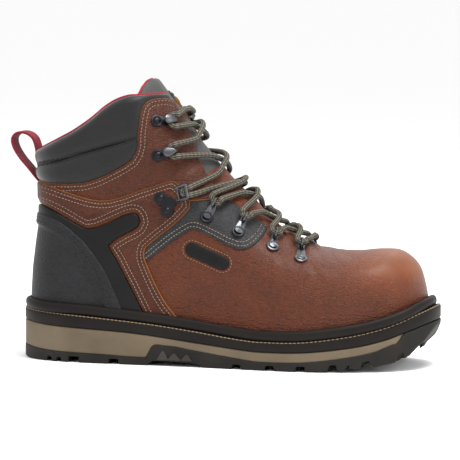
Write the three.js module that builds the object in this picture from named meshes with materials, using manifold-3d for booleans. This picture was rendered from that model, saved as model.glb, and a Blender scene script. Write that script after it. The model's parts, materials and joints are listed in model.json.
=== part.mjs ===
// A six-inch lace-up work boot for the right foot, as separate solids.
// Millimetres, +Z up, toe towards +X, outer side towards -Y.
// The foot form is a fan of closed sections. Each runs from a point on the ridge of the
// instep to a point on the heel or the tread, and every upper piece is cut from that form.
import * as THREE from 'three';
import * as BufferGeometryUtils from 'three/addons/utils/BufferGeometryUtils.js';
import Module from 'manifold-3d';

const wasm = await Module();
wasm.setup();

// Driving dimensions.
const LENGTH = 314; // nominal length of the sole, heel to toe
const BALL_WIDTH = 100; // upper, across the ball
const INSTEP_HEIGHT = 102; // floor to ridge at the instep
const HEEL_HEIGHT = 34; // floor to the top of the welt under the heel
const WALL = 2.6; // leather and lining
const GAP = 0.3; // clearance between pieces that touch
const FACET_TOLERANCE = 0.1; // how far a surface may move where small facets merge
const WELT_EDGE = 6.6; // how far the sole stands out past the upper at the sides
const END_EDGE = 7.6; // and how much more at heel and toe
const BEAD_RADIUS = 2.8; // half its width
const BEAD_HALF_HEIGHT = 3.8;
const INSOLE_THICKNESS = 4;
const ANCHOR_THICKNESS = 2.2;
const PADDING_THICKNESS = 5;
const TONGUE_DROP = 0.6; // the tongue's face below the facings' face
const TONGUE_DEPTH = 8.2; // and its back
const LACE_RADIUS = 2.1;

// Each section of the foot form. Ridge x and rear x are per cent of LENGTH, ridge z is per
// cent of INSTEP_HEIGHT, rear z is per cent of HEEL_HEIGHT. The half widths, outer front,
// outer rear, inner front and inner rear, and the end radii, ridge and rear, are per cent
// of BALL_WIDTH.
const SECTIONS = [
  [31.5, 208, 4.1, 532, 33, 31, 33, 31, 30, 27],
  [37.6, 183, 4.5, 465, 34, 32, 34, 32, 31, 27],
  [42.7, 158, 4.8, 382, 34, 33, 34, 32, 31, 27],
  [47.1, 138, 4.8, 306, 35, 35, 34, 34, 31, 28],
  [51.9, 123, 3.9, 241, 37, 36, 36, 35, 31, 29],
  [56.4, 112, 3.1, 176, 39, 36, 37, 35, 32, 30],
  [60.8, 99.5, 3.2, 100, 42, 35, 40, 34, 33, 30],
  [65.3, 92.2, 7.6, 47, 45, 36, 42, 33, 36, 26],
  [69.7, 85, 24, 41, 48, 38, 46, 31, 38, 20],
  [74.8, 82.4, 44.6, 35, 50, 42, 49, 33, 40, 16],
  [80.6, 81.6, 63.7, 29, 50, 50, 50, 46, 40, 14],
  [86.3, 83.3, 75.8, 41, 46, 49, 48, 49, 37, 14],
  [90.8, 82.2, 83.4, 59, 41, 44, 45, 46, 34, 14],
  [94.6, 73, 89.2, 74, 33.5, 37, 38, 41, 30, 12],
  [96.35, 57.8, 92.4, 82, 26, 29, 31, 33, 24, 11],
  [97.1, 45, 94.3, 85, 20, 22, 25, 26, 19, 10],
];

// Heights of the sole's layers along the boot, as [x, z] pairs.
const WELT_TOP = [[-5, 38], [30, 36.5], [55, 35.1], [106, 31.1], [145, 26.5], [170, 23.1], [193, 21.3],
  [224, 22.1], [260, 27.1], [280, 32], [293, 36.8], [306, 43], [320, 47.5]];
const WELT_BASE = [[-5, 28.8], [31, 26.5], [84, 24], [106, 22.2], [145, 17.7], [176, 14.4], [193, 13.3],
  [224, 13.9], [260, 18.1], [281, 22.9], [296, 28.4], [320, 36]];
const WEDGE_BASE = [[-5, 10.2], [31, 8], [69, 7], [104, 5.9], [106, 6.3], [111, 14.6], [120, 15],
  [145, 11.8], [176, 7.8], [193, 6.3], [224, 6.9], [253, 10.4], [274, 14.6], [292, 20.8]];
const TREAD = [[-5, 3.4], [4, 1], [12, 0], [100, 0], [106, 0.6], [112, 3.6], [145, 2.4], [152, 0], [215, 0],
  [232, 0.5], [253, 2], [268, 3.6], [283, 5.8], [295, 9.5], [300, 15.5], [306, 20.5], [316, 33]];
const WEDGE_TIP = [289, 19.8];
const BEAD_RISE = 3.2; // bead's centre above the welt's top

// Outlines in the side elevation, as [x, z].
const TOP_LINE = [[-10, 154.5], [14, 154.6], [23, 157], [44.5, 167], [60, 177], [72.5, 187], [82, 192.4],
  [93, 195.4], [118, 195.2], [150, 190], [150, 260], [-10, 260]];
const ANCHOR_OUTLINE = [[-5, 115], [14.9, 113.5], [35.6, 108.5], [48.7, 103.4], [58.9, 98.7], [68.4, 99.6],
  [79.7, 104.3], [91, 108.9], [96, 109.6], [99.3, 106], [98.5, 101.5], [87.2, 93.5], [76.1, 85.2],
  [83.9, 73.8], [91.5, 60.7], [99, 46.2], [104.3, 36.8], [108, 30], [86, 30], [83, 38.4], [80.7, 45.7],
  [76.1, 56.6], [70.9, 67.5], [63, 78.2], [52.7, 88.9], [40, 96.9], [26.5, 102.6], [14.9, 104.3], [-5, 105]];
const PADDING_OUTLINE = [[-10, 112], [30, 108], [80, 104], [87, 130], [87, 152], [80, 178], [80, 300],
  [-10, 300]];

function spline(pairs, x) {
  // A smooth height curve through [x, z] pairs, with no overshoot at a step.
  let i = 0;
  while (i < pairs.length - 2 && x > pairs[i + 1][0]) i += 1;
  const slope = (j) => {
    const before = pairs[Math.max(j - 1, 0)];
    const after = pairs[Math.min(j + 1, pairs.length - 1)];
    const rise = (pairs[j][1] - before[1]) * (after[1] - pairs[j][1]);
    return rise <= 0 ? 0 : (after[1] - before[1]) / (after[0] - before[0]);
  };
  const [x0, z0] = pairs[i];
  const [x1, z1] = pairs[i + 1];
  const step = x1 - x0;
  const t = THREE.MathUtils.clamp((x - x0) / step, 0, 1);
  const t2 = t * t;
  const t3 = t2 * t;
  return z0 * (2 * t3 - 3 * t2 + 1) + step * slope(i) * (t3 - 2 * t2 + t)
    + z1 * (3 * t2 - 2 * t3) + step * slope(i + 1) * (t3 - t2);
}

function sectionAt(u) {
  // The section at a real-valued place u along SECTIONS, in millimetres.
  const last = SECTIONS.length - 1;
  const i = Math.min(Math.max(Math.floor(u), 0), last - 1);
  const t = u - i;
  const row = (j) => SECTIONS[Math.min(Math.max(j, 0), last)];
  const value = SECTIONS[0].map((_, k) => {
    const [a, b, c, d] = [row(i - 1)[k], row(i)[k], row(i + 1)[k], row(i + 2)[k]];
    return b + 0.5 * t * (c - a + t * (2 * a - 5 * b + 4 * c - d + t * (3 * (b - c) + d - a)));
  });
  return {
    ridge: new THREE.Vector3(value[0] * LENGTH, 0, value[1] * INSTEP_HEIGHT).divideScalar(100),
    rear: new THREE.Vector3(value[2] * LENGTH, 0, value[3] * HEEL_HEIGHT).divideScalar(100),
    outer: [value[4], value[5]].map((w) => (w * BALL_WIDTH) / 100),
    inner: [value[6], value[7]].map((w) => (w * BALL_WIDTH) / 100),
    round: [value[8], value[9]].map((w) => (w * BALL_WIDTH) / 100),
  };
}

function roundEnd(distance, radius) {
  // Share of the half width at a distance from the end of a section.
  const short = 1 - Math.min(Math.max(distance, 0) / radius, 1);
  return Math.sqrt(Math.max(1 - short ** 2.2, 0));
}

function skin(u, q) {
  // A point on the foot form. q runs round a section: 0 on the ridge, 0 to 1 down the
  // outer side, 1 at the rear, and 1 to 2 back up the inner side.
  const section = sectionAt(u);
  const side = ((q % 2) + 2) % 2;
  const outerSide = side <= 1;
  const across = (1 - Math.cos(Math.PI * (outerSide ? side : 2 - side))) / 2;
  const length = section.ridge.distanceTo(section.rear);
  const [front, rear] = outerSide ? section.outer : section.inner;
  const half = THREE.MathUtils.lerp(front, rear, across * across * (3 - 2 * across))
    * roundEnd(across * length, section.round[0]) * roundEnd((1 - across) * length, section.round[1]);
  const point = section.ridge.clone().lerp(section.rear, across);
  point.y = outerSide ? -half : half;
  return point;
}

function outward(u, q) {
  const step = 0.02;
  const along = skin(u + step, q).sub(skin(u - step, q));
  const around = skin(u, q + step).sub(skin(u, q - step));
  const normal = along.cross(around).normalize();
  const section = sectionAt(u);
  const centre = section.ridge.clone().lerp(section.rear, 0.5);
  return normal.dot(skin(u, q).sub(centre)) < 0 ? normal.negate() : normal;
}

function form(u, q, offset) {
  return skin(u, q).addScaledVector(outward(u, q), offset);
}

// Solids: three.js geometry in and out of the boolean library.
function solidOf(geometry) {
  const bare = geometry.clone();
  bare.deleteAttribute('normal');
  bare.deleteAttribute('uv');
  const merged = BufferGeometryUtils.mergeVertices(bare, 1e-4);
  const mesh = new wasm.Mesh({
    numProp: 3,
    vertProperties: new Float32Array(merged.attributes.position.array),
    triVerts: new Uint32Array(merged.index.array),
  });
  mesh.merge();
  return new wasm.Manifold(mesh);
}

function geometryOf(solid) {
  const mesh = solid.simplify(FACET_TOLERANCE).getMesh();
  const geometry = new THREE.BufferGeometry();
  geometry.setAttribute('position', new THREE.BufferAttribute(mesh.vertProperties, 3));
  geometry.setIndex(new THREE.BufferAttribute(mesh.triVerts, 1));
  return geometry;
}

function joined(solids) {
  return solids.slice(1).reduce((whole, piece) => whole.add(piece), solids[0]);
}

function shellOf(rings, closedEnds = true) {
  // A closed solid through equal rings of points, with a fan over each end.
  const count = rings[0].length;
  const positions = rings.flat().flatMap((p) => [p.x, p.y, p.z]);
  const indices = [];
  for (let r = 0; r < rings.length - (closedEnds ? 1 : 0); r += 1) {
    const next = (r + 1) % rings.length;
    for (let i = 0; i < count; i += 1) {
      const j = (i + 1) % count;
      const [a, b, c, d] = [r * count + i, r * count + j, next * count + j, next * count + i];
      indices.push(a, b, c, a, c, d);
    }
  }
  if (closedEnds) {
    [0, rings.length - 1].forEach((r, end) => {
      const middle = rings[r].reduce((sum, p) => sum.add(p), new THREE.Vector3()).divideScalar(count);
      const centre = positions.length / 3;
      positions.push(middle.x, middle.y, middle.z);
      for (let i = 0; i < count; i += 1) {
        const j = (i + 1) % count;
        const [a, b] = [r * count + i, r * count + j];
        indices.push(...(end ? [a, b, centre] : [b, a, centre]));
      }
    });
  }
  const geometry = new THREE.BufferGeometry();
  geometry.setAttribute('position', new THREE.Float32BufferAttribute(positions, 3));
  geometry.setIndex(indices);
  const solid = solidOf(geometry);
  if (solid.volume() > 0) return solid;
  const turned = [];
  for (let i = 0; i < indices.length; i += 3) turned.push(indices[i], indices[i + 2], indices[i + 1]);
  geometry.setIndex(turned);
  return solidOf(geometry);
}

function formSolid(offset, rowsPerSection = 2, around = 20) {
  const rings = [];
  const rows = (SECTIONS.length - 1) * rowsPerSection;
  for (let r = 0; r <= rows; r += 1) {
    const u = r / rowsPerSection;
    rings.push(Array.from({ length: around }, (_, i) => form(u, (2 * i) / around, offset)));
  }
  return shellOf(rings);
}

const innerForm = (offset) => formSolid(offset, 1, 22); // coarser, for what the foot fills

function sidePrism(outline, fromY = -90, toY = 90) {
  // A side-elevation outline, [x, z], extruded across the boot.
  const shape = new THREE.Shape(outline.map(([x, z]) => new THREE.Vector2(x, z)));
  const geometry = new THREE.ExtrudeGeometry(shape, { depth: toY - fromY, bevelEnabled: false, steps: 1 });
  geometry.rotateX(Math.PI / 2);
  geometry.translate(0, toY, 0);
  return solidOf(geometry);
}

function planPrism(outline, low = -20, high = 120) {
  const shape = new THREE.Shape(outline.map(([x, y]) => new THREE.Vector2(x, y)));
  const geometry = new THREE.ExtrudeGeometry(shape, { depth: high - low, bevelEnabled: false, steps: 1 });
  geometry.translate(0, 0, low);
  return solidOf(geometry);
}

function between(low, high, fromX = -5, toX = LENGTH + 6) {
  // A slab across the boot between two height curves. All slabs bend at the same places.
  const step = 8;
  const places = [fromX];
  for (let x = (Math.floor(fromX / step) + 1) * step; x < toX; x += step) places.push(x);
  places.push(toX);
  const lower = places.map((x) => [x, low(x)]);
  const upper = places.map((x) => [x, high(x)]).reverse();
  return sidePrism([...lower, ...upper]);
}

const weltTop = (x) => spline(WELT_TOP, x);
const weltBase = (x) => spline(WELT_BASE, x);
const wedgeBase = (x) => spline(WEDGE_BASE, x);
const tread = (x) => spline(TREAD, x);

function feather(height, offset, count = 60) {
  // The closed line round the upper's foot, at a height over the welt's top, evenly spaced.
  const raw = [];
  const crossing = (u, from, to) => {
    let [a, b] = [from, to];
    const above = (q) => {
      const p = form(u, q, offset);
      return p.z - weltTop(p.x) - height;
    };
    if (above(a) < 0 || above(b) > 0) return null;
    for (let n = 0; n < 40; n += 1) {
      const middle = (a + b) / 2;
      if (above(middle) > 0) a = middle;
      else b = middle;
    }
    return form(u, (a + b) / 2, offset);
  };
  const last = SECTIONS.length - 1;
  const [outer, inner] = [[], []];
  for (let u = 5; u <= last; u += 0.05) {
    const p = crossing(u, 0, 1);
    const m = crossing(u, 2, 1);
    if (p) outer.push(p);
    if (m) inner.push(m);
  }
  raw.push(...outer, ...inner.reverse());
  const curve = new THREE.CatmullRomCurve3(raw.filter((p, i) => !i || p.distanceTo(raw[i - 1]) > 1.2), true);
  curve.arcLengthDivisions = 2000;
  return curve.getSpacedPoints(count).slice(0, count);
}

function plan(extra, ends, count = 50) {
  // The sole's outline: the foot line pushed out sideways, and further at heel and toe.
  const line = feather(2, 0, count);
  const pushed = line.map((p, i) => {
    const before = line[(i + count - 1) % count];
    const after = line[(i + 1) % count];
    const side = new THREE.Vector2(after.y - before.y, before.x - after.x).normalize();
    if (side.dot(new THREE.Vector2(p.x - LENGTH / 2, p.y)) < 0) side.negate();
    return side.clone().multiplyScalar(extra + ends * side.x ** 4).add(new THREE.Vector2(p.x, p.y));
  });
  const eased = (points) => points.map((p, i) => p.clone().multiplyScalar(2)
    .add(points[(i + count - 1) % count]).add(points[(i + 1) % count]).divideScalar(4));
  return eased(eased(eased(pushed))).map((p) => [p.x, p.y]);
}

// Sole.
function wedgeSpace(clear) {
  // The side elevation of the beige wedge, from the heel to its blunt front tip.
  const [tipX, tipZ] = WEDGE_TIP;
  const front = sidePrism([[-30, -20], [tipX + clear, -20], [tipX + clear, tipZ],
    [tipX + 4.5 + clear, tipZ + 6.5], [tipX + 4.5 + clear, 90], [-30, 90]]);
  return between((x) => wedgeBase(x) - clear, () => 90, -20, 300).intersect(front);
}

function makeOutsole() {
  const floor = planPrism(plan(WELT_EDGE, END_EDGE));
  const block = floor.intersect(between(tread, (x) => weltBase(x) - GAP));
  return block.subtract(wedgeSpace(GAP)).subtract(joined(lugGrooves()));
}

function lugGrooves() {
  // Notches through the tread's edge: [x, width at the floor, depth].
  const notches = [[30, 5, 3.6], [38, 5, 3.4], [50, 10, 4.4], [81, 9, 3.8], [175, 8, 3.4], [200, 8, 3.6],
    [223, 8, 3.8], [246, 7, 4], [257, 4, 2.6], [269, 7, 4.4], [292, 6, 5]];
  return notches.flatMap(([x, width, depth]) => {
    const low = tread(x);
    const wedge = [[x - width / 2, low - 4], [x + width / 2, low - 4], [x + width / 2, low],
      [x + width / 3, low + depth], [x - width / 3, low + depth], [x - width / 2, low]];
    return [sidePrism(wedge, -80, -24), sidePrism(wedge, 24, 80)];
  });
}

function makeMidsole() {
  const slab = between(() => -10, (x) => weltBase(x) - GAP);
  return planPrism(plan(WELT_EDGE - 0.6, END_EDGE)).intersect(slab).intersect(wedgeSpace(0));
}

function makeWelt() {
  const body = planPrism(plan(WELT_EDGE - 0.4, END_EDGE)).intersect(between(weltBase, weltTop));
  const line = feather(BEAD_RISE, BEAD_RADIUS + GAP + 0.25, 28);
  const rings = line.map((p, i) => {
    const along = line[(i + 1) % line.length].clone().sub(line[(i + line.length - 1) % line.length]);
    const side = new THREE.Vector3(along.y, -along.x, 0).normalize();
    const up = side.clone().cross(along).normalize();
    return Array.from({ length: 6 }, (_, k) => {
      const angle = (Math.PI * 2 * (k + 0.5)) / 6;
      return p.clone().addScaledVector(side, BEAD_RADIUS * Math.cos(angle))
        .addScaledVector(up, BEAD_HALF_HEIGHT * Math.sin(angle));
    });
  });
  return body.add(shellOf(rings, false).subtract(formSolid(GAP)));
}

function makeInsole() {
  const slab = between((x) => weltTop(x) + GAP, (x) => weltTop(x) + GAP + INSOLE_THICKNESS);
  return innerForm(-WALL - GAP - 0.2).intersect(slab);
}

// Upper.
const SLOPE = { top: [118, 195], foot: [214, 88] }; // the throat's line in side elevation
// Outlines drawn on that slope, as [distance down it, half width].
const THROAT = [[-40, 10], [0, 9], [22, 11], [45, 17], [65, 23], [90, 23], [108, 19], [125, 14], [136, 10],
  [142, 5]];
const TONGUE = [[-21, 8], [-18, 16], [-13, 23], [-7, 27], [0, 29.5], [30, 29], [60, 27], [120, 24],
  [136, 18], [141, 8]];

function slopePrism(outline, grow = 0) {
  const [[x0, z0], [x1, z1]] = [SLOPE.top, SLOPE.foot];
  const down = new THREE.Vector3(x1 - x0, 0, z1 - z0).normalize();
  const side = new THREE.Vector3(0, 1, 0);
  const sides = [...outline.map(([s, w]) => [s, -w - grow]), ...[...outline].reverse().map(([s, w]) => [s, w + grow])];
  const shape = new THREE.Shape(sides.map(([s, w]) => new THREE.Vector2(s, w)));
  const geometry = new THREE.ExtrudeGeometry(shape, { depth: 62, bevelEnabled: false, steps: 1 });
  geometry.translate(0, 0, -34);
  geometry.applyMatrix4(new THREE.Matrix4().makeBasis(down, side, down.clone().cross(side)));
  geometry.translate(x0, 0, z0);
  return solidOf(geometry);
}

const aboveTopLine = sidePrism(TOP_LINE);
const underWelt = between(() => -60, (x) => weltTop(x) + GAP, -20, LENGTH + 20);

function makeUpper() {
  return formSolid(0).subtract(innerForm(-WALL)).subtract(underWelt).subtract(aboveTopLine)
    .subtract(slopePrism(THROAT));
}

function makePadding() {
  const shell = innerForm(-WALL - GAP).subtract(innerForm(-WALL - GAP - PADDING_THICKNESS));
  return shell.intersect(sidePrism(PADDING_OUTLINE)).subtract(aboveTopLine);
}

function makeAnchor() {
  const shell = formSolid(GAP + ANCHOR_THICKNESS).subtract(formSolid(GAP));
  const overBead = between(() => -60, (x) => weltTop(x) + BEAD_RISE + BEAD_HALF_HEIGHT + GAP, -20, LENGTH + 20);
  return shell.intersect(sidePrism(ANCHOR_OUTLINE)).subtract(overBead);
}

function makeTongue() {
  // A padded leaf under the facings, whose middle rises to fill the throat.
  const inThroat = formSolid(-TONGUE_DROP).intersect(slopePrism(THROAT, -0.6));
  const leaf = innerForm(-WALL - GAP - 0.2).add(inThroat);
  return leaf.subtract(innerForm(-TONGUE_DEPTH)).intersect(slopePrism(TONGUE));
}

// Lace hardware. Places on the form are [u, q] of the outer side; the inner side mirrors q.
const EYELETS = [
  { ring: [4.84, 0.255], bail: [4.37, 0.194] },
  { ring: [5.83, 0.193], bail: [5.44, 0.143] },
  { ring: [7.23, 0.157], bail: [6.77, 0.106] },
  { ring: [8.55, 0.177], bail: [7.93, 0.086] },
];
const LOCK = { rivets: [[3.48, 0.356], [4.01, 0.358]], head: [3.6, 0.271] };
const HOOKS = [
  { rivet: [1.26, 0.225], head: [1.34, 0.173] },
  { rivet: [2.13, 0.292], head: [2.14, 0.24] },
];
const SEAT = 0.55; // clearance under a flat plate on the curved leather
const PLATE = 1.3;
const RING = { outer: 4.8, inner: 2.4 };
const BAIL = { radius: 3.3, wire: 0.95 };
const RIVET_RADIUS = 4.5;

const mirrored = ([u, q], side) => [u, side === 'outer' ? q : 2 - q];

function frameAt(from, to) {
  // A seat on the leather: origin at from, X towards to, Z out of the surface.
  const origin = form(...from, 0);
  const out = outward(...from);
  const ahead = form(...to, 0).sub(origin);
  const reach = ahead.length();
  ahead.addScaledVector(out, -ahead.dot(out)).normalize();
  const basis = new THREE.Matrix4().makeBasis(ahead, out.clone().cross(ahead), out).setPosition(origin);
  return { basis, reach };
}

function disc(radius, x, y, low, high, sides = 8) {
  const geometry = new THREE.CylinderGeometry(radius, radius, high - low, sides);
  geometry.rotateX(Math.PI / 2);
  geometry.translate(x, y, (low + high) / 2);
  return geometry;
}

function box(x0, x1, y0, y1, z0, z1) {
  const geometry = new THREE.BoxGeometry(x1 - x0, y1 - y0, z1 - z0);
  return geometry.translate((x0 + x1) / 2, (y0 + y1) / 2, (z0 + z1) / 2);
}

function placed(geometries, basis) {
  return joined(geometries.map((geometry) => solidOf(geometry.applyMatrix4(basis))));
}

function makeEyelet({ ring, bail }, side) {
  const { basis, reach } = frameAt(mirrored(ring, side), mirrored(bail, side));
  const outline = new THREE.Shape().absarc(0, 0, RING.outer, 0, Math.PI * 2);
  outline.holes.push(new THREE.Path().absarc(0, 0, RING.inner, 0, Math.PI * 2, true));
  const washer = new THREE.ExtrudeGeometry(outline, { depth: PLATE, bevelEnabled: false, curveSegments: 4 });
  washer.translate(0, 0, SEAT);
  const neck = box(RING.inner + 0.8, reach - BAIL.radius + 1, -2, 2, SEAT, SEAT + PLATE);
  const loop = new THREE.TorusGeometry(BAIL.radius, BAIL.wire, 4, 8);
  loop.rotateX(Math.PI / 2);
  loop.translate(reach, 0, SEAT + BAIL.radius + 0.6);
  return placed([washer, neck, loop], basis);
}

function makeHook({ rivet, head }, side) {
  const { basis, reach } = frameAt(mirrored(rivet, side), mirrored(head, side));
  const foot = disc(RIVET_RADIUS, 0, 0, SEAT, SEAT + PLATE);
  const button = disc(2.6, 0, 0, SEAT + 1, SEAT + 2.3, 6);
  const arm = box(0, reach + 3, -2.2, 2.2, SEAT, SEAT + PLATE);
  const neck = box(reach + 1.4, reach + 3, -1.9, 1.9, SEAT + 0.4, SEAT + 6.6);
  const cap = disc(3.9, reach - 0.2, 0, SEAT + 5.9, SEAT + 7.2, 8);
  return placed([foot, button, arm, neck, cap], basis);
}

function makeLock({ rivets, head }, side) {
  const { basis, reach } = frameAt(mirrored(rivets[0], side), mirrored(head, side));
  const second = form(...mirrored(rivets[1], side), 0).applyMatrix4(basis.clone().invert());
  const flat = [SEAT, SEAT + PLATE];
  const feet = [disc(4.3, 0, 0, ...flat), disc(4.3, second.x, second.y, ...flat)];
  const middle = disc(5.4, (reach + second.x) / 3, second.y / 2.6, ...flat);
  const arm = box(0, reach + 5, -4.9, 4.9, ...flat);
  const cheeks = [-1, 1].map((s) => box(reach - 5, reach + 5, s * 4.4 - 0.8, s * 4.4 + 0.8, SEAT, SEAT + 5.6));
  const bar = box(reach + 2.6, reach + 4.6, -4.6, 4.6, SEAT + 4.2, SEAT + 5.6);
  return placed([...feet, middle, arm, ...cheeks, bar], basis);
}

// Lace. It turns just inside each fitting, as [u, q, height over the leather].
const TURNS = [
  [1.4, 0.105, 5.2], [2.2, 0.165, 5.2], [3.66, 0.19, 4.9], [4.12, 0.128, 4.7], [5.14, 0.098, 4.4],
  [6.43, 0.064, 4.2], [7.55, 0.045, 4.2],
];
const CROSSING_HEIGHT = 3.1;

function laceStrand(from, to) {
  const steps = 3;
  const points = Array.from({ length: steps + 1 }, (_, i) => {
    const t = i / steps;
    const sag = 4 * t * (1 - t);
    const ends = THREE.MathUtils.lerp(from[2], to[2], t);
    return form(THREE.MathUtils.lerp(from[0], to[0], t), THREE.MathUtils.lerp(from[1], to[1], t),
      THREE.MathUtils.lerp(ends, CROSSING_HEIGHT, sag));
  });
  const route = new THREE.CatmullRomCurve3(points);
  const outline = new THREE.Shape().absarc(0, 0, LACE_RADIUS, 0, Math.PI * 2);
  return solidOf(new THREE.ExtrudeGeometry(outline, { steps, curveSegments: 2, extrudePath: route }));
}

function makeLace() {
  const other = ([u, q, height]) => [u, -q, height];
  const strands = [laceStrand(TURNS[0], other(TURNS[0])), laceStrand(TURNS.at(-1), other(TURNS.at(-1)))];
  TURNS.slice(1).forEach((turn, i) => {
    strands.push(laceStrand(turn, other(TURNS[i])), laceStrand(other(turn), TURNS[i]));
  });
  return joined(strands);
}

// Pull loop: a webbing band doubled into a teardrop behind the heel, as [x, z].
const LOOP_ROUTE = [[13.5, 139.4], [12, 147.6], [11, 155], [8.7, 161.3], [4.6, 164.8], [-0.4, 165.9],
  [-5, 164.6], [-7.4, 160.6], [-6, 154.4], [-1.1, 146.8], [4.9, 140], [10, 133.8], [13.5, 130]];
const LOOP_WIDTH = 15;
const LOOP_THICKNESS = 1.8;

function makePullLoop() {
  const route = new THREE.SplineCurve(LOOP_ROUTE.map(([x, z]) => new THREE.Vector2(x, z)));
  const count = 26;
  const edge = (side) => Array.from({ length: count + 1 }, (_, i) => {
    const along = route.getTangentAt(i / count);
    const p = route.getPointAt(i / count);
    const half = (side * LOOP_THICKNESS) / 2;
    return [p.x - along.y * half, p.y + along.x * half];
  });
  return sidePrism([...edge(-1), ...edge(1).reverse()], -LOOP_WIDTH / 2, LOOP_WIDTH / 2);
}

const MATERIALS = {
  leather: [0x7a4329, 0.62, 0],
  collar: [0x3a3a3c, 0.5, 0],
  anchor: [0x262627, 0.45, 0],
  rubber: [0x2c2928, 0.75, 0],
  wedge: [0x857966, 0.8, 0],
  insole: [0x55504a, 0.9, 0],
  tongue: [0x6d3c26, 0.65, 0],
  lace: [0x77756c, 0.85, 0],
  metal: [0x3c3d41, 0.35, 0.9],
  webbing: [0x8c1b2c, 0.8, 0],
};

const boot = new THREE.Group();

function addNode(name, solid, look) {
  const [color, roughness, metalness] = MATERIALS[look];
  const material = new THREE.MeshStandardMaterial({ color, roughness, metalness });
  const mesh = new THREE.Mesh(geometryOf(solid), material);
  mesh.name = name;
  boot.add(mesh);
}

addNode('outsole', makeOutsole(), 'rubber');
addNode('midsole', makeMidsole(), 'wedge');
addNode('welt', makeWelt(), 'rubber');
addNode('insole', makeInsole(), 'insole');
addNode('upper', makeUpper(), 'leather');
addNode('collar_padding', makePadding(), 'collar');
addNode('heel_anchor', makeAnchor(), 'anchor');
addNode('tongue', makeTongue(), 'tongue');
addNode('pull_loop', makePullLoop(), 'webbing');
addNode('lace', makeLace(), 'lace');
['outer', 'inner'].forEach((side) => {
  HOOKS.forEach((hook, i) => addNode(`hook_${i + 1}_${side}`, makeHook(hook, side), 'metal'));
  addNode(`lock_hook_${side}`, makeLock(LOCK, side), 'metal');
  EYELETS.forEach((eyelet, i) => addNode(`eyelet_${i + 1}_${side}`, makeEyelet(eyelet, side), 'metal'));
});

// The origin is on the floor, under the middle of the boot's box.
const { min, max } = new THREE.Box3().setFromObject(boot);
boot.position.set(-(min.x + max.x) / 2, -(min.y + max.y) / 2, 0);

export default boot;
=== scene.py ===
import json
import math

import bmesh
import bpy
import numpy as np
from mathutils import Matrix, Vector

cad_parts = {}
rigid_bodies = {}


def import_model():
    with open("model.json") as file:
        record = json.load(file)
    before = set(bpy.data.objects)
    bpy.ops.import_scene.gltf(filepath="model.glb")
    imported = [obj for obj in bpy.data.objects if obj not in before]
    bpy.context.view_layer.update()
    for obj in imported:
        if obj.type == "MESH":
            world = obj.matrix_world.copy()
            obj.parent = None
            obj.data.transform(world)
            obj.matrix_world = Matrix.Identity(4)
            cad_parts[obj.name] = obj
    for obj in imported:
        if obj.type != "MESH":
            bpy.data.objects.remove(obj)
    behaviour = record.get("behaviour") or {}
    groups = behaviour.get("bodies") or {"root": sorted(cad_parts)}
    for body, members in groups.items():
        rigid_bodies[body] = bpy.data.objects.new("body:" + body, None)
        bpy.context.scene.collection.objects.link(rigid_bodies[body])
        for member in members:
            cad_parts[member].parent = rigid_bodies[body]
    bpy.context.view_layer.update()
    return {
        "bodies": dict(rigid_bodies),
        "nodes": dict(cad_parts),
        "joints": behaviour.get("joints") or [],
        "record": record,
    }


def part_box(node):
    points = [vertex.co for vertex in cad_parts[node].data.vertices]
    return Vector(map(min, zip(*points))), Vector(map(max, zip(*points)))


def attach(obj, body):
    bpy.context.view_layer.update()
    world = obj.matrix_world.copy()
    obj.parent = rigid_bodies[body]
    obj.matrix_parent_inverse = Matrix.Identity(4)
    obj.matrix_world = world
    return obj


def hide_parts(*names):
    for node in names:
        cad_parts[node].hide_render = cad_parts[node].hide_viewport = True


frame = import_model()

# ---------------------------------------------------------------- the last
# The wooden last that the boot is pulled over: a fan of closed sections, each from a point
# on the instep's ridge to a point on the heel or the tread. Everything sewn or lasted on
# the boot is placed on it. Sizes here and below are in millimetres.
LENGTH = 314
INSTEP_HEIGHT = 102
HEEL_HEIGHT = 34
BALL_WIDTH = 100
WALL = 2.6
TINY = 1e-9
SECTIONS = np.array([
    [31.5, 208, 4.1, 532, 33, 31, 33, 31, 30, 27],
    [37.6, 183, 4.5, 465, 34, 32, 34, 32, 31, 27],
    [42.7, 158, 4.8, 382, 34, 33, 34, 32, 31, 27],
    [47.1, 138, 4.8, 306, 35, 35, 34, 34, 31, 28],
    [51.9, 123, 3.9, 241, 37, 36, 36, 35, 31, 29],
    [56.4, 112, 3.1, 176, 39, 36, 37, 35, 32, 30],
    [60.8, 99.5, 3.2, 100, 42, 35, 40, 34, 33, 30],
    [65.3, 92.2, 7.6, 47, 45, 36, 42, 33, 36, 26],
    [69.7, 85, 24, 41, 48, 38, 46, 31, 38, 20],
    [74.8, 82.4, 44.6, 35, 50, 42, 49, 33, 40, 16],
    [80.6, 81.6, 63.7, 29, 50, 50, 50, 46, 40, 14],
    [86.3, 83.3, 75.8, 41, 46, 49, 48, 49, 37, 14],
    [90.8, 82.2, 83.4, 59, 41, 44, 45, 46, 34, 14],
    [94.6, 73, 89.2, 74, 33.5, 37, 38, 41, 30, 12],
    [96.35, 57.8, 92.4, 82, 26, 29, 31, 33, 24, 11],
    [97.1, 45, 94.3, 85, 20, 22, 25, 26, 19, 10]]) / 100
SECTION_SCALE = np.array([LENGTH, INSTEP_HEIGHT, LENGTH, HEEL_HEIGHT] + [BALL_WIDTH] * 6)
SHAPE = SECTIONS * SECTION_SCALE
OUTSOLE_CORNER = (312.60, 54.11)  # the outsole's front end and inner side
SHIFT = np.array([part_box("outsole")[1][0] * 1000 - OUTSOLE_CORNER[0],
                  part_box("outsole")[1][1] * 1000 - OUTSOLE_CORNER[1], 0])


def catmull_rom(a, b, c, d, t):
    """The place a share t of the way from b to c on a smooth curve through four points."""
    return b + 0.5 * t * (c - a + t * (2 * a - 5 * b + 4 * c - d + t * (3 * (b - c) + d - a)))


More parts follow.
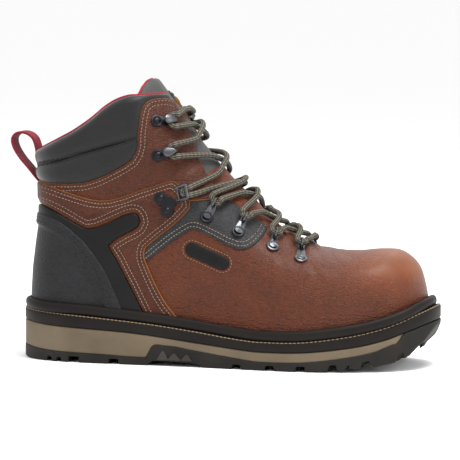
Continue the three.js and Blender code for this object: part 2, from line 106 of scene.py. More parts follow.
def sections_at(u):
    """Rows of SHAPE at real-valued places u, on a smooth curve through them."""
    last = len(SHAPE) - 1
    i = np.clip(np.floor(u).astype(int), 0, last - 1)
    a, b, c, d = (SHAPE[np.clip(i + k, 0, last)] for k in (-1, 0, 1, 2))
    return catmull_rom(a, b, c, d, (u - i)[..., None])


def unit(vectors):
    """Vectors scaled to a length of one."""
    return vectors / np.maximum(np.linalg.norm(vectors, axis=-1, keepdims=True), TINY)


def round_end(distance, radius):
    """The share of a section's half width at a distance from its end."""
    short = 1 - np.clip(distance / radius, 0, 1)
    return np.sqrt(np.maximum(1 - short ** 2.2, 0))


def skin(u, q):
    """Points on the last. q is 0 on the ridge, 1 at the rear, and 1 to 2 on the inner side."""
    u, q = np.broadcast_arrays(np.asarray(u, float), np.asarray(q, float))
    rows = sections_at(u)
    side = np.mod(q, 2)
    outer = side <= 1
    across = (1 - np.cos(np.pi * np.where(outer, side, 2 - side))) / 2
    run = rows[..., 2:4] - rows[..., 0:2]
    length = np.hypot(run[..., 0], run[..., 1])
    front = np.where(outer, rows[..., 4], rows[..., 6])
    rear = np.where(outer, rows[..., 5], rows[..., 7])
    blend = across * across * (3 - 2 * across)
    half = (front + (rear - front) * blend) * round_end(across * length, rows[..., 8])
    half = half * round_end((1 - across) * length, rows[..., 9])
    x = rows[..., 0] + run[..., 0] * across
    z = rows[..., 1] + run[..., 1] * across
    return np.stack([x, np.where(outer, -half, half), z], -1)


def outward(u, q):
    """Unit vectors that point out of the last."""
    step = 0.02
    along_u = skin(u + step, q) - skin(u - step, q)
    normal = unit(np.cross(along_u, skin(u, q + step) - skin(u, q - step)))
    rows = sections_at(np.broadcast_arrays(np.asarray(u, float), np.asarray(q, float))[0])
    centre = np.stack([(rows[..., 0] + rows[..., 2]) / 2, rows[..., 0] * 0,
                       (rows[..., 1] + rows[..., 3]) / 2], -1)
    facing = np.sum(normal * (skin(u, q) - centre), -1, keepdims=True)
    return np.where(facing < 0, -normal, normal)


def on_last(u, q, height):
    """Points at a height over the last."""
    u, q = np.asarray(u, float), np.asarray(q, float)
    return skin(u, q) + outward(u, q) * np.asarray(height, float)[..., None]


# Patterns are cut flat on an elevation of the outer side, turned a little towards the toe
# and raised a little, as a designer sketches a boot. The inner side has the same pattern.
TURN = math.radians(14)
RISE = math.radians(5)
DRAWN_FROM = (1.1, 6.0)


def elevation(points):
    """Where points of the boot fall on the pattern sheet."""
    depth = -points[..., 0] * math.sin(TURN) + points[..., 1] * math.cos(TURN)
    across = points[..., 0] * math.cos(TURN) + points[..., 1] * math.sin(TURN)
    up = points[..., 2] * math.cos(RISE) + depth * math.sin(RISE)
    return np.stack([across + DRAWN_FROM[0], up + DRAWN_FROM[1]], -1)


def drawn(u, q):
    """Where a place on the last falls on the pattern sheet."""
    side = np.mod(q, 2)
    return elevation(skin(u, np.where(side <= 1, side, 2 - side)))


def mesh_object(name, points, faces, replaces=(), angle=40):
    """A mesh piece from millimetre points, standing in the frame, riding on the one body."""
    mesh = bpy.data.meshes.new(name)
    in_frame = (np.asarray(points, float) + SHIFT) / 1000
    mesh.from_pydata(in_frame.tolist(), [], [list(map(int, f)) for f in faces])
    mesh.update()
    mesh.shade_smooth()
    mesh.set_sharp_from_angle(angle=math.radians(angle))
    piece = bpy.data.objects.new(name, mesh)
    bpy.context.scene.collection.objects.link(piece)
    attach(piece, "root")
    if replaces:
        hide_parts(*replaces)
    return piece


def paint(piece, *materials):
    """Gives a piece its materials, in the order of its faces' material indices."""
    for material in materials:
        piece.data.materials.append(material)


def linear(hex_colour):
    """An sRGB hex colour as the linear RGBA that a shader takes."""
    values = [int(hex_colour[i:i + 2], 16) / 255 for i in (1, 3, 5)]
    return [v / 12.92 if v <= 0.04045 else ((v + 0.055) / 1.055) ** 2.4 for v in values] + [1]


def node(tree, kind, links=None, **settings):
    """Adds a node, sets its properties and inputs, and links the inputs that name a socket."""
    made = tree.nodes.new(kind)
    for name, value in settings.items():
        setattr(made, name, value)
    for key, value in (links or {}).items():
        socket = made.inputs[key]
        if isinstance(value, bpy.types.NodeSocket):
            tree.links.new(value, socket)
        else:
            socket.default_value = value
    return made


def blank_material(name, settings=None):
    """A material of one principled shader with the given settings."""
    material = bpy.data.materials.new(name)
    material.use_nodes = True
    tree = material.node_tree
    tree.nodes.clear()
    shader = node(tree, "ShaderNodeBsdfPrincipled", settings)
    node(tree, "ShaderNodeOutputMaterial", {"Surface": shader.outputs[0]})
    return material, tree, shader


def maths(tree, operation, *values):
    """The result of a maths node."""
    return node(tree, "ShaderNodeMath", dict(enumerate(values)), operation=operation).outputs[0]


def noise(tree, place, size, detail, roughness=0.5):
    """Cloudy noise with patches of a size in millimetres."""
    return node(tree, "ShaderNodeTexNoise", {"Vector": place, "Scale": 1000 / size, "Detail": detail,
                                             "Roughness": roughness})


def pebbled(tree, place, size, smoothness):
    """The distance to the nearest of cells of a size in millimetres."""
    cells = node(tree, "ShaderNodeTexVoronoi", {"Vector": place, "Scale": 1000 / size,
                                                "Smoothness": smoothness}, feature="SMOOTH_F1")
    return cells.outputs["Distance"]


def roughen(tree, shader, factor, low, high):
    """Makes the roughness follow a factor."""
    rough = node(tree, "ShaderNodeMapRange", {"Value": factor, "To Min": low, "To Max": high})
    tree.links.new(rough.outputs[0], shader.inputs["Roughness"])


def emboss(tree, shader, height, strength, depth):
    """Presses a relief into the surface, its depth in millimetres."""
    bump = node(tree, "ShaderNodeBump", {"Height": height, "Strength": strength,
                                         "Distance": depth / 1000})
    tree.links.new(bump.outputs[0], shader.inputs["Normal"])


def ramp(tree, factor, stops):
    """A colour ramp with [place, hex colour or grey] stops."""
    made = node(tree, "ShaderNodeValToRGB", {"Fac": factor})
    elements = made.color_ramp.elements
    while len(elements) < len(stops):
        elements.new(0.5)
    for element, (place, colour) in zip(elements, stops):
        element.position = place
        element.color = linear(colour) if isinstance(colour, str) else [colour] * 3 + [1]
    return made.outputs["Color"]


HIDE_PATCH = 22  # the size of the patches in which a hide's colour drifts
HIDE_STRETCH = (0.62, 1, 1.4)  # the grain is longer along the boot than up it
# The tan that the toe cap's top is painted towards: a painted highlight.
TOE_HIGHLIGHT_TAN = "#764428"


def grained(name, dark, light, cell, roughness, depth, sheen=0.0, coat=0.0, pulled_and_highlit=None):
    """Leather: pebbles of cell millimetres pressed into a surface whose colour drifts in
    patches, darker in the pebbles' furrows: painted shade. Between the two places given in
    pulled, (x, z), it turns smoother, as over a toe cap, and paler: a painted highlight."""
    material, tree, shader = blank_material(name, {
        "IOR": 1.48, "Specular IOR Level": 0.22, "Coat Weight": coat, "Coat Roughness": 0.3,
        "Sheen Weight": sheen})
    place = node(tree, "ShaderNodeTexCoord").outputs["Object"]
    drift = noise(tree, place, HIDE_PATCH, 4.0, 0.6)
    warp = noise(tree, place, cell * 3, 2.0)
    bent = node(tree, "ShaderNodeVectorMath", {0: warp.outputs["Color"], 1: (cell / 1300,) * 3},
                operation="MULTIPLY")
    squeezed = node(tree, "ShaderNodeVectorMath", {0: place, 1: HIDE_STRETCH}, operation="MULTIPLY")
    moved = node(tree, "ShaderNodeVectorMath", {0: squeezed.outputs[0], 1: bent.outputs[0]},
                 operation="ADD").outputs[0]
    pores = noise(tree, place, cell * 0.45, 3.0).outputs["Fac"]
    furrows = maths(tree, "MULTIPLY_ADD", pebbled(tree, moved, cell * 2.3, 0.8), 0.7,
                    pebbled(tree, moved, cell, 0.6))
    stops = [(0.2, dark), (0.72, light)]
    if pulled_and_highlit:
        parts = node(tree, "ShaderNodeSeparateXYZ", {0: place})
        shares = [node(tree, "ShaderNodeMapRange", {"Value": parts.outputs[axis], "From Min": a / 1000,
                                                    "From Max": b / 1000}).outputs[0]
                  for axis, (a, b) in zip("XZ", pulled_and_highlit)]
        pull_and_highlight = maths(tree, "MULTIPLY", *shares)
        left = maths(tree, "MULTIPLY_ADD", pull_and_highlight, -0.85, 1.0)
        furrows = maths(tree, "MULTIPLY", furrows, left)
    base = maths(tree, "MULTIPLY_ADD", drift.outputs["Fac"], 0.4, 0.6)
    # The furrows, lowest in the relief, are painted darker: painted shade.
    tone = maths(tree, "MULTIPLY_ADD", furrows, -0.42, base)
    if pulled_and_highlit:
        # Paler towards the tan over the toe's top front: a painted highlight.
        tone = maths(tree, "MULTIPLY_ADD", pull_and_highlight, 0.16, tone)
        stops.append((0.98, TOE_HIGHLIGHT_TAN))
    tree.links.new(ramp(tree, tone, stops), shader.inputs["Base Color"])
    roughen(tree, shader, pores, roughness - 0.07, roughness + 0.1)
    relief = maths(tree, "MULTIPLY", furrows, -1.0)
    emboss(tree, shader, maths(tree, "MULTIPLY_ADD", pores, 0.25, relief), 0.9, depth)
    return material


# ---------------------------------------------------------------- studio
# A long lens well back from the outer side, at the same turn and rise as the pattern sheet,
# over a plain white floor, under large soft lights.
VIEW_WIDTH = 337.3
VIEW_DISTANCE = 2300
VIEW_TARGET = np.array([157.6, 0, 96])
SENSOR_WIDTH = 36
FLOOR_EDGE = 60.0  # metres
LAMP_TARGET = Vector((0, 0, 0.09))
# name, place and size in metres, power in watts
LAMPS = [("key", (0.25, -0.9, 1.5), 0.9, 6), ("fill", (-1.2, -0.9, 0.8), 1.0, 2),
         ("front", (1.5, -0.6, 0.9), 0.8, 6), ("rim", (0.1, 1.2, 1.3), 1.0, 5),
         ("top", (0.35, -0.2, 1.3), 0.5, 15)]


def aim(thing, way):
    """Turns a camera or a lamp to look along a way."""
    thing.rotation_euler = way.to_track_quat("-Z", "Y").to_euler()


def studio():
    """The camera, the floor, the room's light and the lamps."""
    scene = bpy.context.scene
    toward = np.array([-math.sin(TURN) * math.cos(RISE), math.cos(TURN) * math.cos(RISE),
                       -math.sin(RISE)])
    lens = bpy.data.cameras.new("camera")
    camera = bpy.data.objects.new("camera", lens)
    scene.collection.objects.link(camera)
    camera.location = Vector((VIEW_TARGET - toward * VIEW_DISTANCE + SHIFT) / 1000)
    aim(camera, Vector(toward))
    lens.sensor_width = SENSOR_WIDTH
    lens.lens = SENSOR_WIDTH * VIEW_DISTANCE / VIEW_WIDTH
    lens.clip_end = 200
    scene.camera = camera
    floor_mesh = bpy.data.meshes.new("floor")
    corners = [(FLOOR_EDGE * x, FLOOR_EDGE * y, 0) for x, y in ((-1, -1), (1, -1), (1, 1), (-1, 1))]
    floor_mesh.from_pydata(corners, [], [(0, 1, 2, 3)])
    floor = bpy.data.objects.new("floor", floor_mesh)
    scene.collection.objects.link(floor)
    paper = {"Base Color": linear("#fbfbfb"), "Roughness": 0.9}
    paint(floor, blank_material("white paper sweep", paper)[0])
    world = bpy.data.worlds.new("room")
    scene.world = world
    world.use_nodes = True
    background = world.node_tree.nodes["Background"]
    background.inputs["Color"].default_value = (1, 1, 1, 1)
    background.inputs["Strength"].default_value = 1.0
    for name, place, size, power in LAMPS:
        light = bpy.data.lights.new(name, "AREA")
        light.size = size
        light.energy = power
        lamp = bpy.data.objects.new(name, light)
        lamp.location = place
        aim(lamp, LAMP_TARGET - Vector(place))
        scene.collection.objects.link(lamp)
    scene.view_settings.view_transform = "Standard"


studio()

# ---------------------------------------------------------------- sole
# Outsole, beige wedge and welt are moulded or cut to one outline, then cemented and
# stitched. Each has a moulded edge with a small radius. The welt carries a round bead that
# is pressed against the upper, and a tan lockstitch runs in the groove outside it.
WELT_TOP = [(-5, 38), (30, 36.5), (55, 35.1), (106, 31.1), (145, 26.5), (170, 23.1), (193, 21.3),
            (224, 22.1), (260, 27.1), (280, 32), (293, 36.8), (306, 43), (320, 47.5)]
WELT_BASE = [(-5, 28.8), (31, 26.5), (84, 24), (106, 22.2), (145, 17.7), (176, 14.4), (193, 13.3),
             (224, 13.9), (260, 18.1), (281, 22.9), (296, 28.4), (320, 36)]
WEDGE_BASE = [(-5, 10.2), (31, 8), (69, 7), (104, 5.9), (106, 6.3), (111, 14.6), (120, 15),
              (145, 11.8), (176, 7.8), (193, 6.3), (224, 6.9), (253, 10.4), (274, 14.6), (292, 20.8)]
TREAD = [(-5, 3.4), (4, 1), (12, 0), (100, 0), (106, 0.6), (112, 3.6), (145, 2.4), (152, 0), (215, 0),
         (232, 0.5), (253, 2), (268, 3.6), (283, 5.8), (295, 9.5), (300, 15.5), (306, 20.5), (316, 33)]
WEDGE_TIP = (289, 19.8)
NOSE_SLOPE = 6.5 / 4.5
WELT_EDGE = 6.6
END_EDGE = 7.6
BEAD_RISE = 3.7
BEAD_RADIUS = 2.7
BEAD_HALF_HEIGHT = 3.9
BEAD_SIDES = 14
RING = 360
LAYER_GAP = 0.3


def height_curve(pairs):
    """A smooth height along the boot through (x, z) pairs, level at its own peaks."""
    xs, zs = np.array(pairs, float).T
    step = np.diff(xs)
    rise = np.diff(zs)
    slope = np.zeros(len(xs))
    mean = (zs[2:] - zs[:-2]) / (xs[2:] - xs[:-2])
    slope[1:-1] = np.where(rise[:-1] * rise[1:] > 0, mean, 0)

    def height(x):
        i = np.clip(np.searchsorted(xs, x) - 1, 0, len(xs) - 2)
        t = np.clip((x - xs[i]) / step[i], 0, 1)
        h = step[i]
        return (zs[i] * (2 * t ** 3 - 3 * t ** 2 + 1) + h * slope[i] * (t ** 3 - 2 * t ** 2 + t)
                + zs[i + 1] * (3 * t ** 2 - 2 * t ** 3) + h * slope[i + 1] * (t ** 3 - t ** 2))
    return height


welt_top, welt_base, wedge_base, tread = map(height_curve, (WELT_TOP, WELT_BASE, WEDGE_BASE, TREAD))


def even(points, count, closed=True):
    """Points spaced evenly along a line."""
    points = np.asarray(points, float)
    if closed:
        points = np.vstack([points, points[:1]])
    run = np.concatenate([[0], np.cumsum(np.linalg.norm(np.diff(points, axis=0), axis=1))])
    at = np.linspace(0, run[-1], count, endpoint=not closed)
    return np.stack([np.interp(at, run, points[:, k]) for k in range(points.shape[1])], -1)


def foot_line(rise, offset, count):
    """The closed line round the foot of the upper, at a height over the welt's top."""
    u = np.arange(5, len(SHAPE) - 1, 0.04)
    sides = []

    def above(q):
        p = on_last(u, q, offset)
        return p[:, 2] - welt_top(p[:, 0]) - rise
    for ridge in (0.0, 2.0):
        high, low = np.full(u.shape, ridge), np.full(u.shape, 1.0)
        good = (above(high) > 0) & (above(low) < 0)
        for _ in range(34):
            middle = (high + low) / 2
            over = above(middle) > 0
            high, low = np.where(over, middle, high), np.where(over, low, middle)
        sides.append(on_last(u, high, offset)[good])
    return even(np.vstack([sides[0], sides[1][::-1]]), count)


def smoothed(ring, times):
    """A closed line with each point drawn towards its neighbours."""
    for _ in range(times):
        ring = (2 * ring + np.roll(ring, 1, 0) + np.roll(ring, -1, 0)) / 4
    return ring


def smooth_ring(points, count):
    """A closed smooth curve through points, sampled evenly."""
    n = len(points)
    at = np.linspace(0, n, n * 12, endpoint=False)
    i = np.floor(at).astype(int)
    a, b, c, d = (points[(i + k) % n] for k in (-1, 0, 1, 2))
    return even(catmull_rom(a, b, c, d, (at - i)[:, None]), count)


def ring_normals(ring):
    """Unit vectors out of a closed line, seen from above."""
    along = np.roll(ring, -1, 0) - np.roll(ring, 1, 0)
    side = unit(np.stack([along[:, 1], -along[:, 0]], -1))
    inwards = np.sum(side * (ring[:, :2] - ring[:, :2].mean(0)), 1) < 0
    return -side if inwards.mean() > 0.5 else side


def sole_outline():
    """The sole's outline: the foot line pushed outwards, further at heel and toe."""
    line = foot_line(2, 0, 50)[:, :2]
    side = ring_normals(line)
    pushed = line + side * (WELT_EDGE + END_EDGE * side[:, :1] ** 4)
    return smooth_ring(smoothed(pushed, 3), RING)


OUTLINE = sole_outline()
OUTLINE_SIDE = ring_normals(OUTLINE)


def bands(rings, sides, looped=False, start=0):
    """Faces between rings of points that follow one another, and back to the first if looped."""
    faces = []
    for ring in range(rings if looped else rings - 1):
        a, b = start + ring * sides, start + (ring + 1) % rings * sides
        faces += [(a + i, a + (i + 1) % sides, b + (i + 1) % sides, b + i) for i in range(sides)]
    return faces


def ends(rings, sides):
    """The faces that close the first and the last ring."""
    return [tuple(range(sides))[::-1], tuple(range((rings - 1) * sides, rings * sides))]


def wall_piece(low, high, rows):
    """Rings of a moulded edge. A row is (share of the height, extra height, inset)."""
    points = []
    for share, extra, inset_by in rows:
        edge = OUTLINE - OUTLINE_SIDE * inset_by
        z = low(edge[:, 0]) * (1 - share) + high(edge[:, 0]) * share + extra
        points.append(np.column_stack([edge, z]))
    return np.vstack(points), bands(len(rows), RING, looped=True)


def outward_faces(piece):
    """Turns a closed mesh's faces outwards."""
    work = bmesh.new()
    work.from_mesh(piece.data)
    bmesh.ops.recalc_face_normals(work, faces=work.faces)
    work.to_mesh(piece.data)
    work.free()


def moulded(name, dark, light, roughness, cell, depth):
    """Moulded rubber or foam: a fine even texture from the mould and faint flow patches."""
    material, tree, shader = blank_material(name, {"IOR": 1.5, "Specular IOR Level": 0.16})
    place = node(tree, "ShaderNodeTexCoord").outputs["Object"]
    flow = noise(tree, place, 30, 5.0).outputs["Fac"]
    tree.links.new(ramp(tree, flow, [(0.3, dark), (0.7, light)]), shader.inputs["Base Color"])
    texture = noise(tree, place, cell, 3.0).outputs["Fac"]
    roughen(tree, shader, texture, roughness - 0.06, roughness + 0.1)
    emboss(tree, shader, texture, 0.7, depth)
    return material


def welt_piece():
    # The strip's ledge, its stitched groove, and its inner wall under the upper.
    rows = [(0, 0, 14), (0, 0, 1.6), (0, 0.5, 0.7), (0, 1.3, 0.4), (0.5, 0, 0.4), (1, -2.6, 0.4),
            (1, -2.0, 0.5), (1, -0.9, 1.3), (1, -0.3, 2.0), (1, 0, 2.8), (1, -0.3, 3.3), (1, -0.9, 3.6),
            (1, -0.9, 4.8), (1, -0.1, 5.4), (1, -0.1, 14)]
    points, faces = wall_piece(welt_base, welt_top, rows)
    faces += bands(BEAD_SIDES, RING, looped=True, start=len(points))
    line = foot_line(BEAD_RISE, BEAD_RADIUS + 0.45, RING)
    side = ring_normals(line)
    bead = []
    for k in range(BEAD_SIDES):
        angle = 2 * math.pi * k / BEAD_SIDES
        bead.append(np.column_stack([line[:, :2] + side * BEAD_RADIUS * math.cos(angle),
                                     line[:, 2] + BEAD_HALF_HEIGHT * math.sin(angle)]))
    piece = mesh_object("welt_strip", np.vstack([points] + bead), faces, ["welt"],
                        angle=50)
    outward_faces(piece)
    paint(piece, moulded("dark brown welt rubber", "#100c0a", "#181310", 0.5, 0.5, 0.05))


def wedge_nose(x):
    """The slant of the wedge's blunt tip."""
    return WEDGE_TIP[1] + (x - WEDGE_TIP[0]) * NOSE_SLOPE


def under_welt(x):
    return welt_base(x) - LAYER_GAP


def midsole_piece():
    def base(x):
        nose = np.minimum(wedge_nose(x), under_welt(x) - 0.05)
        return np.where(x < WEDGE_TIP[0], wedge_base(x), nose)
    rows = [(0, 0, 16), (0, 0, 1.2), (0, 0.4, 0.8), (0, 1.0, 0.6), (0.25, 0, 0.6), (0.5, 0, 0.6),
            (0.75, 0, 0.6), (1, -1.0, 0.6), (1, -0.4, 0.8), (1, 0, 1.2), (1, 0, 16)]
    points, faces = wall_piece(base, under_welt, rows)
    # The wedge stops at its blunt tip, so rings in front of it are pulled back to it.
    points[:, 0] = np.minimum(points[:, 0], WEDGE_TIP[0] + 4.2)
    piece = mesh_object("midsole_wedge", points, faces, ["midsole"], angle=50)
    outward_faces(piece)
    paint(piece, moulded("beige foamed rubber", "#5d5141", "#6b5f4e", 0.62, 0.45, 0.05))


welt_piece()
midsole_piece()

# ---------------------------------------------------------------- cutting leather
# Every panel of the upper is cut to a closed outline on the pattern sheet, trimmed at the
# throat, the top line and the welt, and lies at its own height over the last, with a
# rounded grain shoulder and a raw cut edge. Creases are soft troughs placed one by one.
TOP_LINE = [(-10, 154.5), (14, 154.6), (23, 157), (44.5, 167), (60, 177), (72.5, 187), (82, 192.4),
            (93, 195.4), (118, 195.2), (150, 190)]
SLOPE_TOP = np.array([118, 195.0])
SLOPE_FOOT = np.array([214, 88.0])
THROAT = [(-40, 10), (0, 9), (22, 11), (45, 17), (65, 23), (90, 23), (108, 19), (125, 14), (136, 10),
          (142, 5), (144, 0)]
# from (x, z), to (x, z) on the pattern sheet, depth and half width
CREASES = [(205, 104, 216, 82, 0.50, 2.2), (199, 100, 204, 78, 0.35, 2.0), (214, 99, 232, 78, 0.45, 2.4),
           (190, 92, 193, 70, 0.30, 2.2), (222, 92, 246, 76, 0.30, 2.6), (176, 80, 186, 60, 0.25, 2.4),
           (208, 78, 222, 58, 0.28, 2.6), (120, 168, 106, 161, 0.55, 2.2), (122, 160, 104, 152, 0.50, 2.4),
           (123, 151, 108, 146, 0.40, 2.2), (120, 142, 100, 138, 0.40, 2.6), (100, 166, 92, 158, 0.30, 2.4),
           (96, 140, 72, 134, 0.30, 3.0), (70, 126, 40, 130, 0.25, 3.0), (119, 178, 110, 171, 0.35, 2.0),
           (140, 84, 158, 66, 0.22, 3.2), (120, 66, 142, 50, 0.25, 3.4), (160, 58, 186, 42, 0.2, 3.5)]
CORNER = 6  # the radius where the top line turns into the throat
THROAT_SIDE = 0.62  # how far from the ridge the throat and the tongue are looked for
FAR = 60.0
slope_way = unit(SLOPE_FOOT - SLOPE_TOP)
top_line = height_curve(TOP_LINE)


def inside(points, outline):
    """Signed distance to a closed outline, positive inside it."""
    a = np.array(outline, float)
    b = np.roll(a, -1, 0)
    flat = points.reshape(-1, 2)
    best = np.full(len(flat), 1e9)
    odd = np.zeros(len(flat), bool)
    for (ax, ay), (bx, by) in zip(a, b):
        ex, ey = bx - ax, by - ay
        t = np.clip(((flat[:, 0] - ax) * ex + (flat[:, 1] - ay) * ey) / (ex * ex + ey * ey + 1e-9), 0, 1)
        best = np.minimum(best, np.hypot(flat[:, 0] - ax - t * ex, flat[:, 1] - ay - t * ey))
        if by != ay:
            crosses = ((ay > flat[:, 1]) != (by > flat[:, 1])) & (
                flat[:, 0] < (bx - ax) * (flat[:, 1] - ay) / (by - ay) + ax)
            odd ^= crosses
    return np.where(odd, best, -best).reshape(points.shape[:-1])


def ease(value):
    """A soft step from 0 to 1."""
    value = np.clip(value, 0, 1)
    return value * value * (3 - 2 * value)


def down_slope(p):
    """How far down the throat's slope points are."""
    return (p[..., 0] - SLOPE_TOP[0]) * slope_way[0] + (p[..., 2] - SLOPE_TOP[1]) * slope_way[1]


def near_ridge(q):
    side = np.mod(q, 2)
    return np.minimum(side, 2 - side) < THROAT_SIDE


def overlap(down):
    """How much further the outer facing reaches over the tongue than the inner, near the top."""
    return 4.5 * (1 - np.clip((down - 22) / 40, 0, 1))


def trimmed(u, q, top=0.0, throat=0.0, foot=0.0):
    """Distance inside the throat's edge, the top line and the welt, in true sizes."""
    p = skin(u, q)
    under_top = (top_line(p[..., 0]) - p[..., 2]) * 0.93 - top
    edge = THROAT + [(d, overlap(d) - w) for d, w in THROAT[::-1]]
    off = -inside(np.stack([down_slope(p), p[..., 1]], -1), edge) - throat
    off = np.where(near_ridge(q), off, FAR)
    over_foot = p[..., 2] - welt_top(p[..., 0]) - foot
    corner = (under_top < CORNER) & (off < CORNER)
    round_corner = CORNER - np.hypot(CORNER - under_top, CORNER - off)
    return np.minimum(np.where(corner, round_corner, np.minimum(under_top, off)), over_foot)


def creased(u, q):
    """The depth of the creases, with a low bank on both sides of each."""
    place = drawn(u, q)
    total = np.zeros(place.shape[:-1])
    for ax, az, bx, bz, depth, width in CREASES:
        ex, ez = bx - ax, bz - az
        t = ((place[..., 0] - ax) * ex + (place[..., 1] - az) * ez) / (ex * ex + ez * ez)
        bend = np.sin(t * 5 + ax) * 1.2
        off = ((place[..., 0] - ax) * ez - (place[..., 1] - az) * ex) / math.hypot(ex, ez) + bend
        along = np.exp(-((t - 0.5) / 0.42) ** 4)
        total += depth * along * (0.6 * np.exp(-((np.abs(off) - 1.9 * width) / width) ** 2)
                                  - np.exp(-(off / width) ** 2))
    return total


def split(polygons, nodes, level, seen):
    """Splits polygons along a level of the third node value, and returns both parts."""
    above, below = [], []
    for polygon in polygons:
        values = [nodes[i][2] - level for i in polygon]
        if min(values) >= -1e-9:
            above.append(polygon)
            continue
        if max(values) <= 1e-9:
            below.append(polygon)
            continue
        high, low = [], []
        for k, i in enumerate(polygon):
            j = polygon[(k + 1) % len(polygon)]
            a, b = values[k], values[(k + 1) % len(polygon)]
            if a >= 0:
                high.append(i)
            if a <= 0:
                low.append(i)
            if a * b < 0:
                key = (min(i, j), max(i, j), level)
                if key not in seen:
                    t = a / (a - b)
                    ua, qa, _ = nodes[i]
                    ub, qb, _ = nodes[j]
                    if qb - qa > 1:
                        qb -= 2
                    elif qa - qb > 1:
                        qb += 2
                    seen[key] = len(nodes)
                    nodes.append((ua + (ub - ua) * t, (qa + (qb - qa) * t) % 2, level))
                high.append(seen[key])
                low.append(seen[key])
        if len(high) > 2:
            above.append(high)
        if len(low) > 2:
            below.append(low)
    return above, below


def leather(name, replaces, region, top, bottom, shoulder=((0, 0.6), (0.25, 0.25), (0.75, 0)),
            span=(0, 15), step=(0.05, 0.008), extra_levels=(), raw=0.0):
    """A panel: region(u, q) is the distance inside its edge, top and bottom its heights.
    shoulder lists (distance inside the edge, drop of the grain side there). Faces within
    raw of the edge show the cut. Materials are the grain side, the cut and the back."""
    rows = np.arange(span[0], span[1] + step[0] / 2, step[0])
    count = int(round(2 / step[1]))
    columns = np.arange(count) * step[1]
    uu, qq = np.meshgrid(rows, columns, indexing="ij")
    ff = region(uu, qq)
    nodes = list(zip(uu.ravel().tolist(), qq.ravel().tolist(), ff.ravel().tolist()))
    best = np.maximum.reduce([ff[:-1], ff[1:], np.roll(ff, -1, 1)[:-1], np.roll(ff, -1, 1)[1:]])
    polygons = []
    for r, c in zip(*np.nonzero(best > 0)):
        d = (c + 1) % count
        polygons.append([int(r * count + c), int(r * count + d), int((r + 1) * count + d),
                         int((r + 1) * count + c)])
    seen = {}
    kept, _ = split(polygons, nodes, 0.0, seen)
    done = []
    for level in [d for d, _ in shoulder[1:]] + list(extra_levels):
        kept, under = split(kept, nodes, level, seen)
        done += under
    faces = done + kept
    used = sorted({i for face in faces for i in face})
    index = {old: new for new, old in enumerate(used)}
    faces = [[index[i] for i in face] for face in faces]
    values = np.array([nodes[i] for i in used])
    u, q, f = values.T
    drop = np.interp(f, [d for d, _ in shoulder], [h for _, h in shoulder])
    upper = on_last(u, q, top(u, q, f) - drop)
    lower = on_last(u, q, bottom(u, q, f))
    edges = {}
    for face in faces:
        for a, b in zip(face, face[1:] + face[:1]):
            edges[(a, b)] = True
    half = len(used)
    rim = [(b, a, a + half, b + half) for a, b in edges if (b, a) not in edges]
    under = [[i + half for i in face[::-1]] for face in faces]
    piece = mesh_object(name, np.vstack([upper, lower]), faces + rim + under, replaces, angle=55)
    edge_face = [1 if max(f[i] for i in face) < raw + 1e-6 else 0 for face in faces]
    indices = edge_face + [1] * len(rim) + [2] * len(under)
    piece.data.polygons.foreach_set("material_index", indices)
    outward_faces(piece)
    return piece


def level(height):
    """One height all over a panel."""
    return lambda u, q, f: height


def flat(height):
    """One height over the creases."""
    return lambda u, q, f: creased(u, q) + height


VIEWER = np.array([math.sin(TURN), -math.cos(TURN), 0])
grid_u, grid_q = np.meshgrid(np.arange(0, 14.6, 0.1), np.arange(0.01, 1.0, 0.01), indexing="ij")
grid_drawn = drawn(grid_u, grid_q).reshape(-1, 2)
grid_turned_away = np.sum(outward(grid_u, grid_q) * VIEWER, -1).ravel() <= -0.05


def sewn_at(points):
    """Finds (u, q) on the outer side for points of the pattern sheet: the nearest place of a
    coarse grid, then small steps towards each point."""
    points = np.asarray(points, float)
    found = []
    for point in points:
        gap = np.hypot(grid_drawn[:, 0] - point[0], grid_drawn[:, 1] - point[1])
        found.append(int(np.argmin(gap + np.where(grid_turned_away, 50, 0))))
    u = grid_u.ravel()[found].copy()
    q = grid_q.ravel()[found].copy()
    for _ in range(8):
        here = drawn(u, q)
        du = (drawn(u + 0.01, q) - here) / 0.01
        dq = (drawn(u, q + 0.002) - here) / 0.002
        short = points - here
        area = du[:, 0] * dq[:, 1] - du[:, 1] * dq[:, 0]
        area = np.where(np.abs(area) < 8, 8 * np.sign(area + TINY), area)
        step_u = (short[:, 0] * dq[:, 1] - short[:, 1] * dq[:, 0]) / area
        step_q = (du[:, 0] * short[:, 1] - du[:, 1] * short[:, 0]) / area
        u = np.clip(u + np.clip(step_u, -0.3, 0.3), 0, 14.9)
        q = np.clip(q + np.clip(step_q, -0.03, 0.03), 0.002, 0.999)
    return u, q


# ---------------------------------------------------------------- vamp and quarters
# Full-grain brown leather, lasted over the whole foot and up to the collar, with dark
# fabric lining inside. The toe is stretched smooth over the safety cap, and its top is painted
# paler as a painted highlight. Where the leather begins to smooth and to take the painted
# highlight, and where it is smooth and fully highlit, along the boot and up it.
TOE_PULL_AND_HIGHLIGHT = ((235 + SHIFT[0], 285 + SHIFT[0]), (48, 72))


def vamp_piece():
    def region(u, q):
        return trimmed(u, q, top=4.0, throat=0.6)

    piece = leather("vamp_and_quarters", ["upper"], region, flat(0.0), level(-WALL),
                    step=(0.08, 0.0125))
    paint(piece, BROWN, RAW_EDGE, LINING)


BROWN = grained("brown full-grain leather", "#3f1a0b", "#5f2d13", 0.95, 0.38, 0.85, coat=0.08,
                pulled_and_highlit=TOE_PULL_AND_HIGHLIGHT)
RAW_EDGE = moulded("tan raw cut edge", "#6e4218", "#8a5521", 0.75, 0.4, 0.05)
LINING = moulded("black knitted lining", "#1c1c1d", "#29292a", 0.9, 0.9, 0.12)
vamp_piece()

